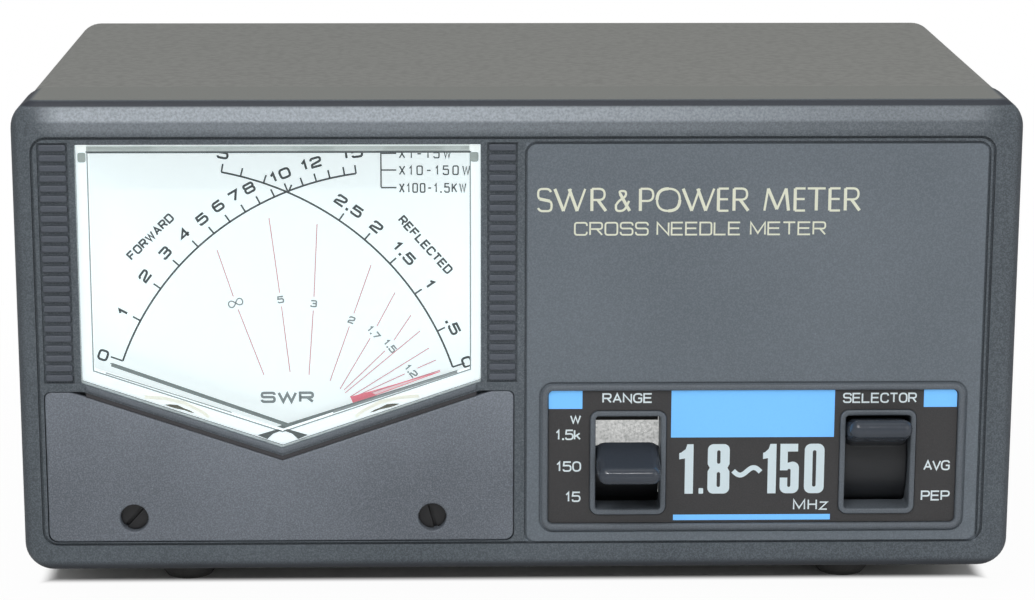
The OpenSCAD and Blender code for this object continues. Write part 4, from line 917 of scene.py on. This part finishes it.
# A scale is the middle and radius of its arc; marks are angles, and numbers have their places.
FORWARD_SCALE = (-18.88, 15.92, 46.22)
FORWARD_MARKS = {0: 160.1, 1: 151.2, 2: 143.6, 3: 137.7, 4: 132.4, 5: 128.3, 6: 124.4, 7: 120.8, 8: 117.5,
                 9: 114.4, 10: 111.6, 11: 108.4, 12: 105.7, 13: 103.0, 14: 100.1, 15: 97.85}
FORWARD_NUMBERS = {0: (-65.4, 32.6), 1: (-62.09, 39.6), 2: (-58.48, 45.4), 3: (-55.26, 49.09),
                   4: (-52.21, 52.13), 5: (-49.35, 54.52), 6: (-46.81, 56.59), 7: (-44.28, 58.17),
                   8: (-41.92, 59.44), 10: (-37.05, 61.5), 12: (-32.19, 63.31), 15: (-25.79, 64.95)}
REFLECTED_SCALE = (-55.04, 15.54, 47.26)
REFLECTED_MARKS = {0: 18.4, 0.5: 26.1, 1: 34.6, 1.5: 42.2, 2: 48.9, 2.5: 55.0, 3.5: 66.0, 4: 71.0,
                   4.5: 75.5, 5: 79.2}
REFLECTED_NUMBERS = {"0": (-7.91, 31.27), ".5": (-10.11, 37.15), "1": (-13.72, 43.98),
                     "1.5": (-17.78, 48.99), "2": (-22.07, 53.17), "2.5": (-26.34, 56.54),
                     "5": (-45.88, 64.9)}
RATIO_LINES = [  # outer end, inner end, number and its place
    ((-47.11, 49.55), (-40.09, 29.26), "inf", (-44.36, 41.0)),
    ((-38.88, 54.65), (-35.96, 29.74), "5", (-37.27, 41.53)),
    ((-31.38, 53.67), (-32.96, 29.23), "3", (-32.07, 40.85)),
    ((-22.98, 47.07), (-29.65, 28.24), "2", (-26.12, 38.18)),
    ((-19.24, 42.62), (-28.08, 26.92), "1.7", (-22.67, 36.15)),
    ((-16.74, 38.96), (-27.44, 26.75), "1.5", (-20.09, 33.93)),
    ((-15.33, 36.36), (-27.29, 26.26), None, None),
    ((-13.92, 33.58), (-26.5, 25.6), None, None),
    ((-12.82, 31.62), (-26.19, 25.43), "1.2", (-16.79, 29.83)),
    ((-12.19, 29.95), (-26.19, 25.27), None, None)]


def along(start, end, t):
    return start[0] + (end[0] - start[0]) * t, start[1] + (end[1] - start[1]) * t


def spoke(middle, angle, near, far):
    """A line that points away from a middle, between two distances."""
    a = math.radians(angle)
    return [(middle[0] + r * math.cos(a), middle[1] + r * math.sin(a)) for r in (near, far)]


def bearing(scale, point):
    return math.degrees(math.atan2(point[1] - scale[1], point[0] - scale[0]))


def dial_print():
    """Both scales with their marks and numbers, the two words and the table of ranges."""
    dark = Ink("dial_print", dark_ink, INK_Y)
    for scale, marks in ((FORWARD_SCALE, FORWARD_MARKS), (REFLECTED_SCALE, REFLECTED_MARKS)):
        dark.strip(ring_arc(*scale, min(marks.values()), max(marks.values()), 60), 0.29)
        for value, angle in marks.items():
            dark.strip(spoke(scale, angle, scale[2], scale[2] + (1.35 if value else 2.0)), 0.26)
    for value, place in FORWARD_NUMBERS.items():
        dark.words(str(value), *place, 1.35, 1.5, 0.36, bearing(FORWARD_SCALE, place) - 90, 0.42, 0.36)
    for value, place in REFLECTED_NUMBERS.items():
        dark.words(value, *place, 1.35, 1.5, 0.36, bearing(REFLECTED_SCALE, place) - 90, 0.36, 0.36)
    dark.words("FORWARD", -57.5, 51.7, 1.15, 0.92, 0.29, 44.3, 0.46)
    dark.words("REFLECTED", -14.4, 50.3, 1.15, 0.9, 0.29, -48.4, 0.46)
    stem, line = -21.3, 0.22
    dark.strip([(stem, 66.6), (stem, 59.5)], line)
    for z, label, wide, gap in ((64.9, "X1-15W", 0.8, 0.92), (62.25, "X10-150W", 0.8, 0.9),
                                (59.45, "X100-1.5KW", 0.68, 0.72)):
        dark.strip([(stem, z), (stem + 2.4, z)], line)
        dark.words(label, stem + 2.9, z - 0.05, 1.35, wide, 0.21, 0, gap, 0.3, "LEFT")
    dark.lay()
    Ink("dial_word", grey_ink, INK_Y).words("SWR", -36.45, 25.6, 1.45, 2.0, 0.42, 0, 0.34).lay()


def ratio_print():
    """The lines of equal ratio with their numbers, and the red wedge beside the last of them."""
    line, clear_of_number = 0.16, 1.1
    small, rose = Ink("ratio_numbers", grey_ink, INK_Y), Ink("ratio_lines", rose_ink, INK_Y)
    for outer, inner, number, place in RATIO_LINES:
        angle = bearing(inner, outer) - 90
        if not number:
            rose.strip([outer, inner], line)
            continue
        if number == "inf":
            loop = [(1.15 * math.cos(t) / (1 + math.sin(t) ** 2),
                     1.5 * math.sin(t) * math.cos(t) / (1 + math.sin(t) ** 2))
                    for t in (2 * math.pi * i / 40 for i in range(41))]
            turn = math.radians(angle)
            small.strip([Ink.turned(p, turn, *place) for p in loop], 0.2)
        else:
            small.words(number, *place, 0.95, 0.85, 0.23, -50 if len(number) > 1 else angle, 0.3)
        for end in (outer, inner):
            rose.strip([end, along(place, end, clear_of_number / math.dist(place, end))], line)
    small.lay()
    rose.lay()
    root, tip = [(-26.47, 25.63), (-26.03, 24.55), (-22.2, 25.85), (-23.4, 26.5)], (-12.15, 29.73)
    red = Ink("ratio_wedge", red_ink, INK_Y - 0.01).patch(root)
    red.strip([(-26.2, 25.6), tip], 0.13).strip([(-22.4, 25.95), tip], 0.1).lay()
    fill = [(-23.4, 26.45), (-22.3, 25.8), (-13.5, 29.2), (-13.5, 29.35)]
    Ink("ratio_wedge_fill", pink_ink, INK_Y).patch(fill).lay()


DIGIT_LOW, DIGIT_HIGH = 12.34, 20.4


def heavy_one(left, right_edge):
    """A figure 1 with a thick stem and a small flag."""
    stem = right_edge - 1.32
    return [(stem, DIGIT_LOW), (right_edge, DIGIT_LOW), (right_edge, DIGIT_HIGH), (stem + 0.35, DIGIT_HIGH),
            (stem + 0.1, 19.6), (left + 0.3, 19.05), (left, 18.95), (left, 17.95), (stem, 18.1)]


def frequency_digits():
    """The condensed heavy figures, as thin plates with narrow slots."""
    low, high, r, slot = DIGIT_LOW, DIGIT_HIGH, 0.9, 0.27
    left, right_edge, waist, nick = 29.73, 33.16, 16.55, 0.32
    mid = (left + right_edge) / 2
    eight = (ring_arc(right_edge - r, low + r, r, 270, 360, 5)
             + [(right_edge, waist - 0.6), (right_edge - nick, waist), (right_edge, waist + 0.6)]
             + ring_arc(right_edge - r, high - r, r, 0, 90, 5) + ring_arc(left + r, high - r, r, 90, 180, 5)
             + [(left, waist + 0.6), (left + nick, waist), (left, waist - 0.6)]
             + ring_arc(left + r, low + r, r, 180, 270, 5))
    five = ([(41.1, high), (43.88, high), (43.88, 19.15), (42.28, 19.15), (42.28, 17.3)]
            + ring_arc(43.08, 16.5, 1.0, 100, 0, 6) + ring_arc(43.08, low + 1, 1.0, 360, 270, 6)
            + ring_arc(42.1, low + 1, 1.0, 270, 180, 6) + [(41.1, 14.9), (42.28, 14.9)]
            + ring_arc(42.53, 13.6, 0.25, 180, 360, 4) + ring_arc(42.53, 16.1, 0.25, 0, 180, 4)
            + [(41.1, 16.1)])
    shapes = [
        [heavy_one(25.24, 27.47)], [round_box(28.36, low, 29.07, 13.24, 0.08, 1)],
        [eight, round_box(mid - slot, 13.4, mid + slot, 15.85, 0.26, 3),
         round_box(mid - slot, 17.2, mid + slot, 19.4, 0.26, 3)],
        [heavy_one(38.4, 40.49)], [five],
        [round_box(44.93, low, 48.04, high, 1.0, 5), round_box(46.2, 13.4, 46.77, 19.35, slot, 3)]]
    front, deep, steps = 0.03, 0.06, 24
    plates = [flat("figure", outlines, front, deep, digit_ink) for outlines in shapes]
    wave = [(33.75 + 4.3 * t, 15.95 - 0.62 * math.sin(2 * math.pi * t) + 0.75 * (0.5 - t) ** 3)
            for t in (i / steps for i in range(steps + 1))]
    return joined("frequency_digits", [*plates, Ink("wave", digit_ink, front).strip(wave, 0.78).lay(deep)])


def needle_blades():
    """The painted faces of the two needles, which are a little wider than their stiffening ribs."""
    for name, angle, width in (("forward", 160.1, 0.36), ("reflected", 17.9, 0.54)):
        front = (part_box(name + "_pointer")[0].y - FACE_Y) / MM + 0.08  # just inside the rib's front
        line = spoke(PIVOTS[name], angle, 14, 47.9)
        Ink(name + "_needle_face", needle_paint, front).strip(line, width).lay(0.03, name + "_movement")


def control_print():
    """The words, figures and blue fields of the control plate."""
    y = 0.08
    white = Ink("control_words", white_ink, y)
    white.words("W", 8.95, 24.5, 1.15, 1.1, 0.24)
    for text, x, z, height, width, gap, align in (
            ("RANGE", 17.02, 27.9, 1.35, 1.2, 0.33, "MIDDLE"),
            ("SELECTOR", 56.5, 27.8, 1.4, 1.12, 0.3, "MIDDLE"),
            ("1.5k", 9.8, 22.0, 1.45, 1.1, 0.24, "RIGHT"), ("150", 9.75, 16.85, 1.45, 1.15, 0.3, "RIGHT"),
            ("15", 9.7, 11.9, 1.45, 1.15, 0.3, "RIGHT"), ("AVG", 65.75, 16.8, 1.4, 1.15, 0.2, "MIDDLE"),
            ("PEP", 65.7, 11.85, 1.4, 1.2, 0.3, "MIDDLE")):
        white.words(text, x, z, height, width, 0.25, 0, gap, 0.5, align)
    for letter, low_x, high_x, height in (("M", 43.3, 45.2, 1.55), ("H", 45.6, 47.05, 1.55),
                                          ("Z", 47.4, 48.75, 1.15)):
        white.words(letter, (low_x + high_x) / 2, 9.7 + height / 2, height,
                    (high_x - low_x - 0.2) / NARROW.get(letter, 1), 0.23)
    white.lay()
    blue = Ink("blue_fields", blue_ink, y)
    top = 29.13
    for outline in (
            [(23.9, 21.5), (49.45, 21.5), (49.45, top), (23.9, top)],
            [(24.4, 8.0), (49.15, 8.0), (49.15, 8.9), (24.4, 8.9)],
            [(4.75, 26.2), (10.0, 26.2), (10.0, top)] + ring_arc(5.55, top - 0.8, 0.8, 90, 180, 6),
            [(68.6, 26.3)] + ring_arc(67.8, top - 0.8, 0.8, 0, 90, 6) + [(63.4, top), (63.4, 26.3)]):
        blue.patch(outline)
    blue.lay()


def title_print():
    """The two lines of the title; letters of the first have their own places."""
    cream = Ink("panel_title", cream_ink, -0.005)
    stroke, low, high = 0.34, 57.5, 61.3
    for letter, left, right_edge in (
            ("S", 2.8, 5.2), ("W", 5.35, 10.35), ("R", 11.05, 13.55), ("&", 14.75, 17.2), ("P", 18.5, 20.8),
            ("O", 21.05, 24.9), ("W", 25.05, 30.15), ("E", 30.5, 32.4), ("R", 32.9, 35.45),
            ("M", 37.6, 41.65), ("E", 42.3, 44.2), ("T", 44.2, 47.3), ("E", 47.65, 49.6), ("R", 50.05, 52.6)):
        top = high - 0.35 if letter == "&" else high
        cream.words(letter, (left + right_edge) / 2, (low + top) / 2, top - low - stroke,
                    (right_edge - left - stroke) / NARROW.get(letter, 1), stroke, corner=0.5,
                    glyphs=TITLE_GLYPHS)
    gap, stroke = 0.27, 0.26
    for word, left, right_edge in (("CROSS", 8.5, 20.0), ("NEEDLE", 21.2, 34.2), ("METER", 35.6, 47.35)):
        spread = sum(NARROW.get(letter, 1.0) for letter in word) + gap * (len(word) - 1)
        width = (right_edge - left - stroke) / spread
        cream.words(word, (left + right_edge) / 2, 54.88, 1.9, width, stroke, 0, gap, 0.22)
    cream.lay()


# ---------- case ----------


def top_cover():
    """A sheet folded over three sides, open at the front, back and bottom."""
    shell = block("cover_shell", (-77.2, 12.65, 0), (77.2, 87, 74.7), cover_paint)
    edited(shell, "DESELECT",
           lambda: choose(shell, "faces", lambda face: abs(face.normal.y) > 0.9 or face.normal.z < -0.9),
           lambda: bpy.ops.mesh.delete(type="FACE"))
    round_edges(shell, 4.2, 10, lambda a, b: a.z > 74 and b.z > 74 and abs(a.y - b.y) > 1)
    outward(shell)
    modify(shell, "SOLIDIFY", thickness=1.0 * MM, offset=-1)
    smooth(shell, 30)
    return soften(shell, 0.12, 2, 60)


def threaded_sockets():
    """The socket shells with the turned thread that takes a plug's ring."""
    shells = copy_of(nodes["socket_shells"])
    outward(shells)
    first, pitch, turns, width, outer, root = 91.6, 1.15, 9, 0.55, 9, 7.4
    tools = []
    for side in (-1, 1):
        for i in range(turns):
            x, y = side * SOCKET_X, first + i * pitch
            ring = post("thread_groove", x, y, SOCKET_Z, outer, width)
            tools.append(cut(ring, post("thread_root", x, y - 1, SOCKET_Z, root, 3)))
    cut(shells, joined("thread_grooves", tools))
    settle(shells, "threaded_socket_shells", steel)
    return smooth(shells, 30)


def dress(piece, name, *cad_nodes, body=BODY):
    piece.name = piece.data.name = name
    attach(piece, body)
    if cad_nodes:
        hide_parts(*cad_nodes)
    return piece


dress(front_bezel(), "front_bezel_shell", "front_bezel")
dress(rib_columns(), "rib_columns")
dress(control_frame(), "control_frame")
dress(window_strip(), "window_strip")
# Dark blocks at the top of the lever openings: painted shade over the slot behind.
dress(joined("lever_gap_shades", [
    block("gap_shade", (x - 5.05, 6.05, LEVER_Z + 5.95), (x + 5.05, 6.6, LEVER_Z + 8.5), gap_shade_black)
    for x in LEVERS.values()]), "lever_gap_shades")
dress(lower_cover(), "lower_cover_plate", "lower_meter_cover")
window_pane, window_walls = window_parts()
dress(window_pane, "window_pane", "meter_window")
dress(window_walls, "window_walls")
dress(top_cover(), "leather_grain_cover", "top_cover")
dress(threaded_sockets(), "threaded_socket_shells", "socket_shells")
for switch, tilt, finish in (("range", 0, range_plastic), ("selector", 26, selector_plastic)):
    dress(finger_lever(LEVERS[switch], tilt, finish), switch + "_finger_lever", switch + "_lever",
          body=switch + "_switch_lever")
window_lines()
dial_print()
ratio_print()
needle_blades()
control_print()
title_print()
dress(frequency_digits(), "frequency_digits")

# ---------- finishes of the carried-over nodes ----------

FINISHES = (  # a finish and its nodes; every other node is plated steel
    (label_film, "control_plate"),
    (chassis_paint, "chassis"),
    (needle_paint, "forward_pointer reflected_pointer"),
    (switch_plate, "range_switch_frame coupler_box coupler_lid"),
    (plain("white_moulding", tint(240, 244, 243), 0.45), "meter_case"),
    # The dial glows: painted light that evens out the shade in the window's recess.
    (plain("dial_paint", tint(205, 213, 215), 0.6, Emission_Color=tint(244, 250, 251),
           Emission_Strength=0.66), "dial_plate"),
    (plain("black_screws", tint(34, 34, 36), 0.35),
     "forward_zero_screw reflected_zero_screw cover_screws pole_rings selector_switch_frame"),
    (metal("brass", tint(214, 182, 104), 0.25),
     "forward_hairspring reflected_hairspring rear_hairsprings forward_zero_arm reflected_zero_arm"
     " front_bridges rear_jewels meter_terminals range_wiper selector_wiper through_line"),
    (metal("enamelled_copper", tint(186, 104, 62), 0.35, 4000), "forward_coil reflected_coil toroid_winding"),
    (metal("ground_magnet", tint(128, 128, 132), 0.4), "core_magnets"),
    (plain("lamp_glass", tint(255, 244, 220), 0.1, Emission_Color=tint(255, 240, 210),
           Emission_Strength=1.0), "meter_lamps"),
    (plain("green_board", tint(38, 92, 54), 0.35), "coupler_board"),
    (plain("dark_board", tint(30, 33, 32), 0.4), "switch_board"),
    (plain("tan_board", tint(176, 140, 84), 0.5), "lamp_board contact_wafers"),
    (plain("resistor_lacquer", tint(204, 174, 126), 0.3), "board_resistors coupler_parts"),
    (plain("black_moulding", tint(30, 30, 33), 0.4), "board_chip supply_jack"),
    (plain("trimmer_plastic", tint(40, 88, 168), 0.3), "board_trimmers"),
    (plain("capacitor_sleeve", tint(26, 32, 58), 0.25), "board_capacitors"),
    (plain("ferrite", tint(46, 44, 44), 0.55), "ferrite_toroid"),
    (plain("insulator", tint(238, 238, 232), 0.35), "socket_insulators"),
    (moulded("foot_rubber", tint(84, 84, 84), tint(104, 104, 100), 1800, 0.00004, 0.7, 0.8), "rubber_feet"),
)
for piece in nodes.values():
    piece.data.materials.clear()
    piece.data.materials.append(steel.material)
for finish, names in FINISHES:
    for name in names.split():
        nodes[name].data.materials[0] = finish.material

# ---------- floor, light ----------


def backdrop():
    """A pale floor that looks white to the camera, but for the shadow beneath the meter."""
    f = Finish("backdrop")
    low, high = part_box("front_bezel")[0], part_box("top_cover")[1]
    across, deep = (
        (f.make("ShaderNodeSeparateXYZ", {}, {"Vector": f.where()}, axis) - middle).math("ABSOLUTE") - half
        for axis, middle, half in (("X", (low.x + high.x) / 2, (high.x - low.x) / 2 + 0.009),
                                   ("Y", (low.y + high.y) / 2, (high.y - low.y) / 2)))
    outside = across.math("MAXIMUM", deep) * 1000
    pale = f.mix(f.noise(40, 2) * 0.1, (0.82, 0.82, 0.82, 1), (0.76, 0.76, 0.76, 1))
    diffuse = f.make("ShaderNodeBsdfDiffuse", {}, {"Color": pale})
    white = f.make("ShaderNodeEmission", {}, {"Color": (1, 1, 1, 1), "Strength": 1.0})
    seen = f.make("ShaderNodeLightPath", {}, {}, "Is Camera Ray")
    clean = outside.above(-11, 1.5) * 0.97 + outside.above(60, 60) * 0.03
    return f.finished(f.make("ShaderNodeMixShader", {}, {0: seen * clean, 1: diffuse, 2: white}))


def daylight():
    """An even white world: full white to the camera, dimmer as a light."""
    world = bpy.data.worlds.new("studio")
    bpy.context.scene.world = world
    world.use_nodes = True
    tree = world.node_tree
    background = tree.nodes["Background"]
    background.inputs["Color"].default_value = (1, 1, 1, 1)
    path = tree.nodes.new("ShaderNodeLightPath")
    level = tree.nodes.new("ShaderNodeMapRange")
    level.inputs["To Min"].default_value = 0.42
    level.inputs["To Max"].default_value = 1.0
    tree.links.new(path.outputs["Is Camera Ray"], level.inputs["Value"])
    tree.links.new(level.outputs["Result"], background.inputs["Strength"])


def lamp(name, place, height, wide, high, watts):
    """A soft lamp that aims at a height above the middle of the floor."""
    data = bpy.data.lights.new(name, "AREA")
    data.shape, data.size, data.size_y, data.energy = "RECTANGLE", wide, high, watts
    light = bpy.data.objects.new(name, data)
    bpy.context.scene.collection.objects.link(light)
    light.location = place
    light.rotation_euler = (Vector((0, 0, height)) - Vector(place)).to_track_quat("-Z", "Y").to_euler()


bpy.ops.mesh.primitive_plane_add(size=6, location=(0, 0, 0))
floor = settle(bpy.context.object, "floor", backdrop())
daylight()
lamp("key", (-0.25, -0.62, 0.9), 0.04, 0.45, 0.45, 2.3)
lamp("strip", (-0.1, -0.66, 0.6), 0.04, 0.5, 0.03, 1.2)
lamp("fill", (0.7, -0.6, 0.45), 0.04, 0.6, 0.6, 1.1)
lamp("top", (0, 0.1, 0.9), 0.05, 0.7, 0.7, 0.9)
bpy.context.scene.view_settings.view_transform = "Standard"
